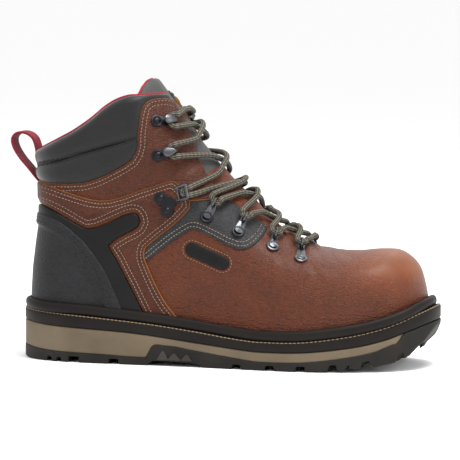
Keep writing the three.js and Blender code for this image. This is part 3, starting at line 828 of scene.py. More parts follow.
# ---------------------------------------------------------------- grey lace stay
# Charcoal pebbled leather on each side of the lower throat, sewn over the vamp with two
# cream rows, running back under the ankle band.
GREY_EDGE = [(182, 105), (181, 99.5), (178, 94), (173, 88.5), (168.5, 85.5), (164.5, 84), (158.5, 84.5),
             (151, 87.5), (141, 93), (132, 97.5), (129, 98.5), (126, 98.5), (121.5, 96), (113.5, 91),
             (105, 84.5), (97, 78), (93, 75)]
GREY_OUTLINE = [(184, 112), (190, 128), (150, 160), (112, 130), (104, 100), (90, 84),
                (90, 75)] + GREY_EDGE[::-1]
GREY_HEIGHT = 1.1


def in_grey(u, q):
    return inside(drawn(u, q), GREY_OUTLINE)


def over_grey(u, q):
    """How much the grey stay lifts the leather that is sewn over it."""
    return GREY_HEIGHT * ease((in_grey(u, q) + 1) / 3)


def grey_stay():
    piece = leather("grey_lace_stay", [],
                    lambda u, q: np.minimum(in_grey(u, q), trimmed(u, q)),
                    flat(GREY_HEIGHT), flat(0.0), span=(2.5, 9))
    paint(piece, CHARCOAL, CHARCOAL_EDGE, CHARCOAL_EDGE)


CHARCOAL = grained("charcoal pebbled leather", "#151516", "#353537", 0.9, 0.5, 0.45)
CHARCOAL_EDGE = moulded("black cut edge", "#141414", "#1e1e1e", 0.7, 0.4, 0.03)
grey_stay()

# ---------------------------------------------------------------- heel counter and anchor
# A moulded black plastic anchor grips the heel: an arm forks up under the ankle band and a
# leg runs down to the welt. The pebbled black counter is sewn over its rear edge.
ANCHOR_TOP = [(13, 118.5), (20.5, 115), (28, 111), (35, 106.5), (42.5, 102.5), (47, 100), (50, 99),
              (56.5, 100), (64, 102.5), (72, 106.5), (79, 109.5), (83.5, 110.5), (86, 110), (88, 107.5),
              (88.5, 104), (87.5, 101), (83, 98), (76.5, 95), (70, 91), (65.5, 87)]
ANCHOR_FRONT = [(67.5, 83), (72, 75.5), (77, 66), (81.5, 57), (86, 48.5), (89.5, 41.5), (92.5, 35),
                (95.5, 29.5)]
COUNTER_EDGE = [(13, 112), (22, 108.5), (31, 104), (39.5, 97.5), (48.5, 89.5), (57, 78.5), (64, 68),
                (69, 57), (73.5, 47), (76.5, 38), (77.5, 29.5)]
ANCHOR_OUTLINE = ([(-20, 126)] + ANCHOR_TOP + ANCHOR_FRONT + [(97, 10), (66, 10), (64, 38), (58, 57),
                  (50, 72), (40, 84), (28, 95), (13, 103), (-20, 108)])
COUNTER_OUTLINE = [(-20, 120)] + COUNTER_EDGE + [(78, 10), (-20, 10)]
ANCHOR_HEIGHT = 2.2
COUNTER_HEIGHT = 1.1
COUNTER_SWELL = 0.5
COUNTER_OVER_ANCHOR = 2.0


def in_anchor(u, q):
    return inside(drawn(u, q), ANCHOR_OUTLINE)


def in_counter(u, q):
    return inside(drawn(u, q), COUNTER_OUTLINE)


def counter_height(u, q):
    """The counter's grain side: it swells in the middle and rides up over the anchor."""
    lift = COUNTER_OVER_ANCHOR * ease((in_anchor(u, q) + 0.8) / 2.4)
    return COUNTER_HEIGHT + lift + COUNTER_SWELL * ease(in_counter(u, q) / 14)


def heel_pieces():
    anchor = leather("heel_anchor_moulding", ["heel_anchor"],
                     lambda u, q: np.minimum(in_anchor(u, q), trimmed(u, q, foot=1.0)),
                     level(ANCHOR_HEIGHT), level(0.0),
                     shoulder=((0, 1.2), (0.2, 0.7), (0.6, 0.3), (1.2, 0.06), (2, 0)), span=(1, 11))
    paint(anchor, MOULDED_BLACK, MOULDED_BLACK, MOULDED_BLACK)
    counter = leather("heel_counter", [],
                      lambda u, q: np.minimum(in_counter(u, q), trimmed(u, q, foot=1.0)),
                      lambda u, q, f: counter_height(u, q), level(0.0),
                      shoulder=((0, 0.7), (0.25, 0.3), (0.8, 0)), span=(1, 11))
    paint(counter, BLACK_PEBBLED, CHARCOAL_EDGE, CHARCOAL_EDGE)


MOULDED_BLACK = moulded("satin black plastic", "#0f0e0f", "#161516", 0.42, 0.35, 0.02)
BLACK_PEBBLED = grained("black pebbled leather", "#0c0c0d", "#262628", 0.8, 0.46, 0.4)
heel_pieces()

# ---------------------------------------------------------------- collar
# Soft charcoal leather over foam in two rolls, quilted by a black zigzag, turned over the
# top line and down inside to the lining, with a red cord edge.
COLLAR_SEAM = [(14.5, 135.5), (18.5, 133.5), (23.5, 132.5), (36.5, 132), (47, 132.5), (55, 134.5),
               (61.5, 137), (69.5, 141), (77, 145), (83, 149), (86, 154), (87.5, 160), (87.5, 168),
               (88.5, 179), (90, 186.5), (92.5, 190.5), (96, 192.5), (100.5, 193.5), (106.5, 194),
               (111.5, 193), (117.5, 191), (122.5, 187.5)]
ZIGZAG = [(0, 144), (14, 146.5), (29.5, 149), (44, 153.5), (58.5, 157.5), (73.5, 161.5), (86.5, 165)]
COLLAR_OUTLINE = [(-20, 137)] + COLLAR_SEAM + [(140, 190), (140, 240), (-20, 240)]
COLLAR_TUCK = 7
COLLAR_DEPTH = 7.0
COLLAR_FRONT_DEPTH = 3.0
COLLAR_SWELL = 3.8
SEAM_ROUND, QUILT_ROUND, RIM_ROUND = 9, 8, 5.5  # how far in the padding curves at each
COLLAR_THROAT = -0.5  # the collar reaches this far over the throat's edge


def in_collar(u, q):
    return inside(drawn(u, q), COLLAR_OUTLINE)


def from_line(points, line):
    """Distance from a line of the pattern sheet."""
    a = np.array(line, float)
    best = np.full(points.shape[:-1], 1e9)
    for (ax, ay), (bx, by) in zip(a[:-1], a[1:]):
        ex, ey = bx - ax, by - ay
        t = ((points[..., 0] - ax) * ex + (points[..., 1] - ay) * ey) / (ex * ex + ey * ey)
        t = np.clip(t, 0, 1)
        best = np.minimum(best, np.hypot(points[..., 0] - ax - t * ex, points[..., 1] - ay - t * ey))
    return best


def quarter_round(share):
    """The height of a quarter circle at a share of the way in from its edge."""
    return np.sqrt(np.clip(1 - (1 - np.clip(share, 0, 1)) ** 2, 0, 1))


def collar_swell(u, q):
    """The padding's height: two rolls, drawn down at the zigzag and at the seam."""
    swell = COLLAR_SWELL * quarter_round(in_collar(u, q) / SEAM_ROUND)
    quilt = quarter_round(from_line(drawn(u, q), ZIGZAG) / QUILT_ROUND)
    return 0.3 + swell * (0.12 + 0.88 * quilt)


def collar_depth(u, q):
    """How far the collar goes inwards: thin in front, where the tongue lies under it."""
    return COLLAR_DEPTH + (COLLAR_FRONT_DEPTH - COLLAR_DEPTH) * ease((drawn(u, q)[..., 0] - 82) / 16)


def collar_middle(u, q):
    """Half way between the collar's faces, where they meet at the rim."""
    return (collar_swell(u, q) - collar_depth(u, q)) / 2


def collar_piece():
    def region(u, q):
        return np.minimum(in_collar(u, q) + COLLAR_TUCK, trimmed(u, q, throat=COLLAR_THROAT))

    def to_middle(u, q, height):
        # Both faces round over to meet at the rim.
        fall = 1 - quarter_round(trimmed(u, q, throat=COLLAR_THROAT) / RIM_ROUND)
        return height + (collar_middle(u, q) - height) * fall

    def top(u, q, f):
        return to_middle(u, q, collar_swell(u, q))

    def bottom(u, q, f):
        return to_middle(u, q, -collar_depth(u, q) * ease((in_collar(u, q) + 1.5) / 5))
    piece = leather("padded_collar", ["collar_padding"], region, top, bottom,
                    shoulder=((0, 0.0), (0.15, 0.0), (0.5, 0.0)), span=(0, 3.6), step=(0.04, 0.01),
                    extra_levels=(1.2, 2.4))
    paint(piece, SOFT_CHARCOAL, SOFT_CHARCOAL, LINING)


SOFT_CHARCOAL = grained("soft charcoal leather", "#0d0d0e", "#191919", 0.6, 0.42, 0.08, sheen=0.22)
collar_piece()

# ---------------------------------------------------------------- facing and ankle band
# Brown leather with raw tan edges. The facing carries the hooks. The Y-shaped band is sewn
# over it, over the grey stay and round the anchor, and goes down to the welt.
BAND_TOP = [(13.5, 135), (18.5, 132.5), (25, 130), (33.5, 126.5), (44, 123), (53, 120.5), (61, 119.5),
            (67.5, 120), (77, 122.5), (88, 126.5), (99, 130), (106.5, 132.5), (110.5, 133.5),
            (113.5, 133.5), (116.5, 131.5), (120.5, 127.5)]
BAND_FRONT = [(123, 122.5), (125.5, 118), (125, 113.5), (121.5, 109.5), (116, 104), (110, 99),
              (102.5, 93.5), (97, 89), (93, 85.5), (92, 82), (92, 79), (93, 75), (95.5, 69), (99, 61),
              (103.5, 52), (108.5, 44), (113.5, 37.5), (119.5, 31)]
BAND_REAR = [(97, 31), (93, 36), (90, 42), (86.5, 49), (82, 58), (77.5, 66.5), (72.5, 76.5), (68, 83.5),
             (66.5, 86.5)]
BAND_ARM = [(70.5, 90), (77, 94), (83.5, 97), (88, 100), (90, 104), (89, 108), (86.5, 111),
            (83.5, 111.5), (79, 110.5), (72, 107.5), (64, 104), (56.5, 101), (50, 100), (47, 101),
            (42.5, 103.5), (35, 108), (28, 112), (20.5, 116), (13.5, 119)]
BAND_OUTLINE = ([(-20, 142)] + BAND_TOP + BAND_FRONT + [(126, 14), (100, 14)] + BAND_REAR + BAND_ARM +
                [(-20, 134)])
FACING_OUTLINE = ([(-20, 137)] + COLLAR_SEAM + [(150, 187), (150, 120), (124, 119), (104, 118),
                  (88, 116), (70, 110), (50, 108), (20, 120), (-20, 126)])
FACING_HEIGHT = 1.4
BAND_HEIGHT = 1.5


def in_facing(u, q):
    return inside(drawn(u, q), FACING_OUTLINE)


def in_band(u, q):
    return inside(drawn(u, q), BAND_OUTLINE)


def facing_height(u, q):
    over_collar = 0.56 * ease((in_collar(u, q) + 5) / 4)
    return creased(u, q) + FACING_HEIGHT + over_grey(u, q) + over_collar


def band_height(u, q):
    over_facing = ease((in_facing(u, q) + 1) / 3)
    lifted = FACING_HEIGHT * over_facing + over_grey(u, q) * (1 - over_facing * 0.4)
    return creased(u, q) * 0.6 + BAND_HEIGHT + lifted


def ankle_pieces():
    facing = leather("facing", [],
                     lambda u, q: np.minimum(in_facing(u, q), trimmed(u, q, top=0.6)),
                     lambda u, q, f: facing_height(u, q), level(-0.2),
                     shoulder=((0, 0.6), (0.3, 0.2), (0.9, 0)), span=(0, 6), raw=0.3)
    band = leather("ankle_band", [],
                   lambda u, q: np.minimum(in_band(u, q), trimmed(u, q)),
                   lambda u, q, f: band_height(u, q), level(0.0),
                   shoulder=((0, 0.7), (0.3, 0.25), (0.9, 0)), span=(1, 12), raw=0.3)
    for piece in (facing, band):
        paint(piece, BAND_BROWN, RAW_EDGE, RAW_EDGE)


BAND_BROWN = grained("brown full-grain leather, darker hide", "#32140a", "#53260f", 0.95, 0.42, 0.85,
                     coat=0.06)
ankle_pieces()

# ---------------------------------------------------------------- stitching
# Every seam is one mesh: a stitch is placed at each point of its row by Geometry Nodes,
# lying along the row with its ends sunk in the leather.
COUNTER_SEAM = [(-4, 111), (15.5, 105), (22, 102), (31, 97.5), (38, 91.5), (44, 85), (50, 77.5),
                (55, 70.5), (58.5, 63), (61.5, 55.5), (64.5, 47.5), (66.5, 40.5), (67.5, 34)]
PITCH = 2.35
STITCH = 1.8
ROW_INSETS = (2.3, 5.1)  # from a panel's edge to its two rows
WELT_STITCHES = 232
WELT_STITCH = 2.9
WELT_GROOVE = (1.15, 0.95)  # its middle from the outline, and its depth below the welt's top

def stitch_tree(name, material):
    """Geometry Nodes that put a stretched ball of thread at every point."""
    tree = bpy.data.node_groups.new(name, "GeometryNodeTree")
    tree.interface.new_socket("Geometry", in_out="INPUT", socket_type="NodeSocketGeometry")
    tree.interface.new_socket("Thickness", in_out="INPUT", socket_type="NodeSocketFloat")
    tree.interface.new_socket("Geometry", in_out="OUTPUT", socket_type="NodeSocketGeometry")
    start = node(tree, "NodeGroupInput")
    along = node(tree, "GeometryNodeInputNamedAttribute", {"Name": "along"}, data_type="FLOAT_VECTOR")
    out = node(tree, "GeometryNodeInputNamedAttribute", {"Name": "out"}, data_type="FLOAT_VECTOR")
    first = node(tree, "FunctionNodeAlignRotationToVector", {"Vector": along.outputs["Attribute"]},
                 axis="X")
    second = node(tree, "FunctionNodeAlignRotationToVector",
                  {"Rotation": first.outputs[0], "Vector": out.outputs["Attribute"]}, axis="Z",
                  pivot_axis="X")
    length = node(tree, "ShaderNodeVectorMath", {0: along.outputs["Attribute"]}, operation="LENGTH")
    thread = node(tree, "GeometryNodeMeshUVSphere", {"Segments": 8, "Rings": 6, "Radius": 0.5})
    scale = node(tree, "ShaderNodeCombineXYZ", {"X": length.outputs["Value"],
                                                "Y": start.outputs["Thickness"],
                                                "Z": start.outputs["Thickness"]})
    placed = node(tree, "GeometryNodeInstanceOnPoints",
                  {"Points": start.outputs["Geometry"], "Instance": thread.outputs["Mesh"],
                   "Rotation": second.outputs[0], "Scale": scale.outputs[0]})
    real = node(tree, "GeometryNodeRealizeInstances", {"Geometry": placed.outputs[0]})
    painted = node(tree, "GeometryNodeSetMaterial", {"Geometry": real.outputs[0], "Material": material})
    node(tree, "NodeGroupOutput", {0: painted.outputs[0]})
    return tree


def sew(name, rows, material, thickness):
    """Rows are (points, along, out) arrays in millimetres."""
    points, along, out = (np.vstack([row[k] for row in rows]) for k in range(3))
    mesh = bpy.data.meshes.new(name + "_row")
    mesh.from_pydata(((points + SHIFT) / 1000).tolist(), [], [])
    for label, values in (("along", along / 1000), ("out", out)):
        mesh.attributes.new(label, "FLOAT_VECTOR", "POINT").data.foreach_set("vector", values.ravel())
    piece = bpy.data.objects.new(name, mesh)
    bpy.context.scene.collection.objects.link(piece)
    modifier = piece.modifiers.new("stitches", "NODES")
    tree = stitch_tree(name, material)
    sizes = {item.name: item.identifier for item in tree.interface.items_tree if item.in_out == "INPUT"}
    modifier.node_group = tree
    modifier[sizes["Thickness"]] = thickness / 1000
    evaluated = piece.evaluated_get(bpy.context.evaluated_depsgraph_get())
    result = bpy.data.meshes.new_from_object(evaluated)
    piece.modifiers.clear()
    piece.data = result
    result.shade_smooth()
    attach(piece, "root")


def inset(line, distance, outline=None):
    """A line moved sideways by a distance on the pattern sheet, into the outline if given."""
    fine = even(line, max(40, int(len(line) * 16)), closed=False)
    way = np.gradient(fine, axis=0)
    side = unit(np.column_stack([-way[:, 1], way[:, 0]]))
    if outline is not None:
        middle = len(fine) // 2
        test = fine[middle] + side[middle] * 1.0
        if inside(test[None], outline)[0] < 0:
            side = -side
    moved = fine + side * distance
    keep = from_line(moved, line) > abs(distance) - 0.12
    return moved[keep]


def seam(line, height, pitch=PITCH, length=STITCH, wave=0.0, lift=0.12, margin=1.6):
    """Stitches along a line of the pattern sheet, on both sides of the boot. A wave makes
    a zigzag, whose stitches cross the line."""
    total = np.linalg.norm(np.diff(line, axis=0), axis=1).sum()
    places = even(line, max(3, int(round(total / pitch)) + 1), closed=False)
    way = unit(np.gradient(places, axis=0))
    if wave:
        across = np.column_stack([-way[:, 1], way[:, 0]])
        sign = np.where(np.arange(len(places)) % 2, 1, -1)[:, None]
        way = unit(way * 0.55 + across * sign)
    next_places = places + way * 0.6
    u, q = sewn_at(places)
    u2, q2 = sewn_at(next_places)
    good = (np.hypot(*(drawn(u, q) - places).T) < 0.5) & (trimmed(u, q) > margin)
    good &= np.hypot(*(drawn(u2, q2) - next_places).T) < 0.5
    rows = []
    for a, b in ((q, q2), (2 - q, 2 - q2)):
        here = on_last(u, a, height(u, a) + lift)
        along = unit(on_last(u2, b, height(u2, b) + lift) - here)
        rows.append((here[good], along[good] * length, outward(u, a)[good]))
    return rows


def grey_height(u, q):
    return creased(u, q) + GREY_HEIGHT


def seams():
    cream = []
    for distance in ROW_INSETS:
        cream += seam(inset(COLLAR_SEAM, distance, FACING_OUTLINE), facing_height)
        cream += seam(inset(BAND_TOP + BAND_FRONT, distance, BAND_OUTLINE), band_height)
        cream += seam(inset(BAND_REAR + BAND_ARM, distance, BAND_OUTLINE), band_height)
        cream += seam(inset(GREY_EDGE, distance, GREY_OUTLINE), grey_height)
    sew("cream_stitching", cream, THREAD_CREAM, 0.55)
    black = seam(np.array(COUNTER_SEAM), counter_height)
    black += seam(inset(COUNTER_SEAM, 2.6, COUNTER_OUTLINE), counter_height)
    sew("black_counter_stitching", black, THREAD_BLACK, 0.85)
    zigzag = []
    for shift in (-0.9, 0.9):
        zigzag += seam(inset(ZIGZAG, shift), collar_swell, pitch=1.5, length=2.9, wave=1, margin=4.5)
    sew("collar_zigzag", zigzag, THREAD_BLACK, 0.95)
    places = even(OUTLINE - OUTLINE_SIDE * WELT_GROOVE[0], WELT_STITCHES)
    spots = np.column_stack([places, welt_top(places[:, 0]) - WELT_GROOVE[1]])
    along = unit(np.roll(spots, -1, 0) - np.roll(spots, 1, 0))
    up = np.tile([0.0, 0.0, 1.0], (len(spots), 1))
    sew("welt_stitching", [(spots, along * WELT_STITCH, up)], THREAD_TAN, 0.8)


def thread(name, colour):
    """Twisted sewing thread."""
    material, tree, shader = blank_material(name, {"Base Color": linear(colour), "Roughness": 0.7})
    place = node(tree, "ShaderNodeTexCoord").outputs["Object"]
    emboss(tree, shader, noise(tree, place, 0.5, 2.0).outputs["Fac"], 0.5, 0.1)
    return material


THREAD_CREAM = thread("cream polyester thread", "#857767")
THREAD_BLACK = thread("black bonded thread", "#0d0d0e")
THREAD_TAN = thread("tan waxed thread", "#7d6a50")
seams()

# ---------------------------------------------------------------- collar cord
# A thin red cord sewn along the collar's rim and round the tongue's tip.
CORD_RADIUS = 1.0


def rod(path, radius, sides=10, closed=False):
    """Points and faces of a tube along a path, with its frame carried along."""
    path = np.asarray(path, float)
    count = len(path)
    way = np.roll(path, -1, 0) - np.roll(path, 1, 0) if closed else np.gradient(path, axis=0)
    way = unit(way)
    side = unit(np.cross(way[0], [0.1, 0.2, 1.0]))
    angles = np.arange(sides)[:, None] * 2 * math.pi / sides
    points = []
    for centre, ahead in zip(path, way):
        side = unit(side - ahead * side.dot(ahead))
        up = np.cross(ahead, side)
        points.append(centre + radius * (np.cos(angles) * side + np.sin(angles) * up))
    faces = bands(count, sides, looped=closed)
    return np.vstack(points), faces if closed else faces + ends(count, sides)


def curve_through(points, spacing=0.8, closed=False):
    """A smooth curve through points, spaced evenly."""
    points = np.asarray(points, float)
    count = len(points)
    last = count if closed else count - 1
    at = np.linspace(0, last, last * 14 + 1)[:-1 if closed else None]
    i = np.minimum(np.floor(at).astype(int), last - 1)
    around = [(i + k) % count if closed else np.clip(i + k, 0, count - 1) for k in (-1, 0, 1, 2)]
    fine = catmull_rom(*(points[k] for k in around), (at - i)[:, None])
    run = np.linalg.norm(np.diff(fine, axis=0), axis=1).sum()
    return even(fine, max(4, int(run / spacing)), closed)


def rim_line():
    """The collar's rim from the outer throat edge round the heel to the inner one."""
    points = []
    for q in np.arange(0.07, 1.871, 0.02):
        u = np.linspace(0, 4, 300)
        gap = trimmed(u, np.full(u.shape, q), throat=COLLAR_THROAT)
        k = int(np.argmax(gap > 0))
        if gap[k] <= 0 or k == 0:
            continue
        share = -gap[k - 1] / (gap[k] - gap[k - 1])
        points.append([u[k - 1] + (u[k] - u[k - 1]) * share, q])
    u, q = np.array(points).T
    return on_last(u, q, collar_middle(u, q))


def cord(name, path):
    points, faces = rod(path, CORD_RADIUS, 8)
    piece = mesh_object(name, points, faces)
    outward_faces(piece)
    paint(piece, RED_CORD)


RED_CORD = moulded("red braided cord", "#7c1422", "#96202f", 0.7, 0.5, 0.08)
cord("collar_cord", curve_through(rim_line() + np.array([0, 0, 0.3]), 1.2))

# ---------------------------------------------------------------- tongue
# A padded tongue: grey leather above, brown leather on its lower two thirds, standing a
# little proud of the throat and tucked under the facings, with a red cord round its tip.
TONGUE = [(-21, 9), (-18.5, 20), (-14, 30), (-8, 38), (0, 42), (12, 34), (30, 29), (60, 27), (120, 24),
          (136, 18), (141, 8)]
TONGUE_DEPTH = 8.2
TONGUE_DROP = 0.6
TONGUE_SPLIT = 58
TONGUE_ROUND = 3.8
TONGUE_TUCK = 2.7


def in_tongue(u, q, start=-100):
    """Distance inside the tongue's outline, and below a start down its slope."""
    p = skin(u, q)
    down = down_slope(p)
    outline = TONGUE + [(d, -w) for d, w in TONGUE[::-1]]
    distance = inside(np.stack([down, p[..., 1]], -1), outline)
    return np.minimum(np.where(near_ridge(q), distance, -20.0), down - start)


def in_free(u, q):
    """1 where the tongue is free between the facings, 0 where it is tucked under them."""
    p = skin(u, q)
    edge = THROAT + [(d, -w) for d, w in THROAT[::-1]]
    return ease((inside(np.stack([down_slope(p), p[..., 1]], -1), edge) + 0.3) / 3.5)


def tongue_swell(p):
    """The middle of the tongue's padding stands up between the facings."""
    down = down_slope(p)
    middle = np.clip(1 - (p[..., 1] / 17) ** 2, 0, 1)
    swell = 0.8 + 3.6 * np.exp(-((down - 66) / 30) ** 2)
    return middle * swell * ease((126 - down) / 26) * ease((down + 4) / 16)


def tongue_top(u, q):
    p = skin(u, q)
    free = in_free(u, q)
    down = down_slope(p)
    ripple = 0.35 * np.sin(down / 6.5) * ease((down - 5) / 20) * ease((130 - down) / 20)
    return -TONGUE_DROP - TONGUE_TUCK * (1 - free) + (ripple + tongue_swell(p)) * free


def tip_line():
    """The tongue's edge round its tip."""
    tip = []
    for q in np.arange(-0.42, 0.4201, 0.012) % 2:
        u = np.linspace(0, 2.5, 400)
        gap = in_tongue(u, np.full(u.shape, q))
        k = int(np.argmax(gap > 0))
        if gap[k] > 0:
            tip.append(on_last(u[k], q, (tongue_top(u[k], q) - TONGUE_DEPTH) / 2))
    tip = np.array(tip)
    return even(tip[down_slope(tip) < -2], 40, False)


def tongue_pieces():
    def towards(height, other, f):
        return height + (other - height) * 0.5 * (1 - quarter_round(f / TONGUE_ROUND))

    padding = leather("tongue_padding", ["tongue"], in_tongue,
                      lambda u, q, f: towards(tongue_top(u, q), -TONGUE_DEPTH, f),
                      lambda u, q, f: towards(-TONGUE_DEPTH, tongue_top(u, q), f),
                      shoulder=((0, 0.0), (0.2, 0), (0.8, 0), (2, 0)), span=(0, 11), step=(0.06, 0.012))
    paint(padding, SOFT_GREY, SOFT_GREY, LINING)
    cover = leather("tongue_cover", [],
                    lambda u, q: np.minimum(in_tongue(u, q, TONGUE_SPLIT) - 2, 12.0),
                    lambda u, q, f: tongue_top(u, q) + in_free(u, q),
                    lambda u, q, f: tongue_top(u, q) - 0.3, span=(2, 11), step=(0.06, 0.012))
    paint(cover, TONGUE_BROWN, RAW_EDGE, RAW_EDGE)
    cord("tongue_cord", curve_through(tip_line(), 1.0))


SOFT_GREY = grained("soft grey leather", "#3a3a3a", "#4b4b4a", 0.6, 0.6, 0.05)
TONGUE_BROWN = grained("brown tongue leather", "#3c1a0e", "#6c351d", 1.0, 0.5, 0.2)
tongue_pieces()

# ---------------------------------------------------------------- fittings
# Gunmetal lacing hardware, riveted through the facings on both sides: two hooks, a locking
# hook on a three-lobed plate, and four D-rings on ring washers. Seats are (u, q) pairs: the
# rivet, and the point its loop or cap reaches towards.
HOOKS = [((1.26, 0.225), (1.34, 0.173)), ((2.13, 0.292), (2.14, 0.24))]
LOCK = [(104.6, 121.2), (109.3, 112.0), (119.7, 124.4)]
EYELETS = [((4.84, 0.255), (4.37, 0.194)), ((5.83, 0.193), (5.44, 0.143)),
           ((7.23, 0.157), (6.77, 0.106)), ((8.55, 0.177), (7.93, 0.086))]
BAIL = 3.3
BAIL_HEIGHT = 4.15
WIRE = 0.95


def lathe(profile, sides=28, centre=(0, 0, 0)):
    """A turned shape from (radius, height) pairs, capped unless its profile is closed."""
    angles = np.arange(sides) * 2 * math.pi / sides
    rings = [np.column_stack([r * np.cos(angles), r * np.sin(angles), np.full(sides, float(z))])
             for r, z in profile]
    faces = bands(len(profile), sides)
    if profile[0] != profile[-1]:
        faces += ends(len(profile), sides)
    return np.vstack(rings) + np.array(centre, float), faces


def slab(outline, low, high, bevel=0.35):
    """A flat plate over an outline with bevelled edges."""
    outline = np.asarray(outline, float)
    way = np.roll(outline, -1, 0) - np.roll(outline, 1, 0)
    side = unit(np.column_stack([way[:, 1], -way[:, 0]]))
    rows = [(0, low), (0, high - bevel), (bevel * 0.35, high - bevel * 0.3), (bevel, high)]
    count = len(outline)
    points = np.vstack([np.column_stack([outline - side * back, np.full(count, z)]) for back, z in rows])
    return points, bands(len(rows), count) + ends(len(rows), count)


def stadium(a, b, radius_a, radius_b, count=14):
    """The outline round two discs of different radius."""
    a, b = np.array(a, float), np.array(b, float)
    way = b - a
    turn = math.atan2(way[1], way[0])
    tilt = math.asin(max(-1, min(1, (radius_a - radius_b) / np.linalg.norm(way))))
    first = np.linspace(turn + math.pi / 2 - tilt, turn + 3 * math.pi / 2 + tilt, count)
    second = np.linspace(turn - math.pi / 2 + tilt, turn + math.pi / 2 - tilt, count)
    return np.vstack([a + radius_a * np.column_stack([np.cos(first), np.sin(first)]),
                      b + radius_b * np.column_stack([np.cos(second), np.sin(second)])])


def lobed(discs, count=72):
    """The outline round several discs that all overlap their middle."""
    centre = np.mean([d[:2] for d in discs], 0)
    outline = []
    for angle in np.arange(count) * 2 * math.pi / count:
        way = np.array([math.cos(angle), math.sin(angle)])
        reach = 1.5
        for x, y, radius in discs:
            off = np.array([x, y]) - centre
            along = off.dot(way)
            inside_root = radius ** 2 - (off.dot(off) - along ** 2)
            if inside_root > 0:
                reach = max(reach, along + math.sqrt(inside_root))
        outline.append(centre + way * reach)
    return smoothed(np.array(outline), 2)


def leather_top(u, q):
    """The height of the outermost leather at a place on the upper."""
    height = np.where(in_grey(u, q) > 0, grey_height(u, q), creased(u, q))
    height = np.where(in_facing(u, q) > 0, facing_height(u, q), height)
    return np.where(in_band(u, q) > 0, band_height(u, q), height)


def seat_frame(seat, toward, inner):
    """Origin on the leather at a seat, X towards the other seat, Z out, and their gap."""
    u = np.array([seat[0], toward[0]])
    q = np.array([seat[1], toward[1]])
    if inner:
        q = 2 - q
    places = on_last(u, q, leather_top(u, q))
    out = unit(outward(u, q).mean(0))
    x = places[1] - places[0]
    reach = np.linalg.norm(x)
    x = unit(x - out * x.dot(out))
    return places[0], x, np.cross(out, x), out, reach


def fitting(part, shapes, frame):
    """Joins shapes given in a seat's frame; each is (shape, index of its metal)."""
    origin, x, y, z, _ = frame
    points, faces, indices = [], [], []
    start = 0
    for (p, f), index in shapes:
        points.append(origin + p[:, :1] * x + p[:, 1:2] * y + p[:, 2:] * z)
        faces += [tuple(i + start for i in face) for face in f]
        indices += [index] * len(f)
        start += len(p)
    piece = mesh_object(part + "_metal", np.vstack(points), faces, [part], angle=35)
    piece.data.polygons.foreach_set("material_index", indices)
    outward_faces(piece)
    paint(piece, DARK_METAL, GUNMETAL, HOLLOW_SHADE_METAL)


def rivet(radius, x=0.0, y=0.0, low=0.0, dome=1.1):
    """A domed rivet head."""
    crown = low + 0.6
    return lathe([(radius, low), (radius, low + 0.5), (radius * 0.94, low + 0.75),
                  (radius * 0.72, crown + dome * 0.5), (radius * 0.45, crown + dome * 0.85),
                  (radius * 0.18, crown + dome), (0.02, crown + 0.02 + dome)], 28, (x, y, 0))


def hook_shapes(reach):
    """A plate with its rivet, a neck at the far end, and a cap that turns back over it."""
    foot = slab(stadium((0, 0), (reach + 1.4, 0), 4.6, 3.0), -0.3, 0.9)
    collar = lathe([(3.6, 0.8), (3.6, 1.15), (3.3, 1.35), (2.9, 1.25), (2.7, 0.85)], 28)
    button = rivet(2.7, low=0.7, dome=1.0)
    lip = [(reach + 4.0, 0, 0.3), (reach + 4.9, 0, 2.0), (reach + 4.6, 0, 4.6), (reach + 3.2, 0, 6.2)]
    neck = rod(curve_through(lip, 0.5), 1.0, 10)
    neck[0][:, 1] *= 2.1
    cap = slab(stadium((reach + 2.6, 0), (reach - 1.2, 0), 2.3, 3.5, 16), 5.5, 7.0, 0.7)
    lift = np.clip((reach + 4 - cap[0][:, 0]) / 8, 0, 1)
    cap[0][:, 2] += 0.8 * lift - 0.75 * np.abs(cap[0][:, 1]) / 3.5
    return [(foot, 0), (collar, 0), (button, 0), (neck, 1), (cap, 1)]


def eyelet_shapes(reach, bright):
    """A ring washer, its well and pin, and the arm that holds the D-ring between cheeks."""
    washer = lathe([(2.3, 0.2), (4.7, 0.2), (4.8, 0.7), (4.6, 1.2), (4.0, 1.5), (3.1, 1.45), (2.6, 1.1),
                    (2.3, 0.5), (2.3, 0.2)], 32)
    # The well closes the washer's hole in near-black metal, painted shade in the hollow; where not bright,
    # the sunken pin takes it too.
    well = lathe([(2.5, -0.2), (2.5, 0.35), (1.7, 0.28), (0.02, 0.25)], 24)
    pin = rivet(1.5, low=0.1, dome=0.5) if bright else rivet(1.2, low=-0.2, dome=0.2)
    arm = slab(stadium((2.4, 0), (reach + 0.4, 0), 3.6, 2.3), 0.1, 1.35, 0.5)
    across = np.linspace(0, 2 * math.pi, 30, endpoint=False)
    ring = np.column_stack([reach + BAIL * np.cos(across), 0 * across,
                            BAIL_HEIGHT + BAIL * np.sin(across)])
    bail = rod(ring, WIRE, 10, closed=True)
    cheeks = [rod(curve_through([(reach - 2.6, y, 0.9), (reach - 0.6, y * 1.05, 2.3),
                                 (reach + 1.0, y * 0.7, 2.6)], 0.6), 0.8, 8) for y in (-1.7, 1.7)]
    return [(washer, 1 if bright else 0), (well, 2), (pin, 1 if bright else 2), (arm, 1), (bail, 1),
            (cheeks[0], 1), (cheeks[1], 1)]


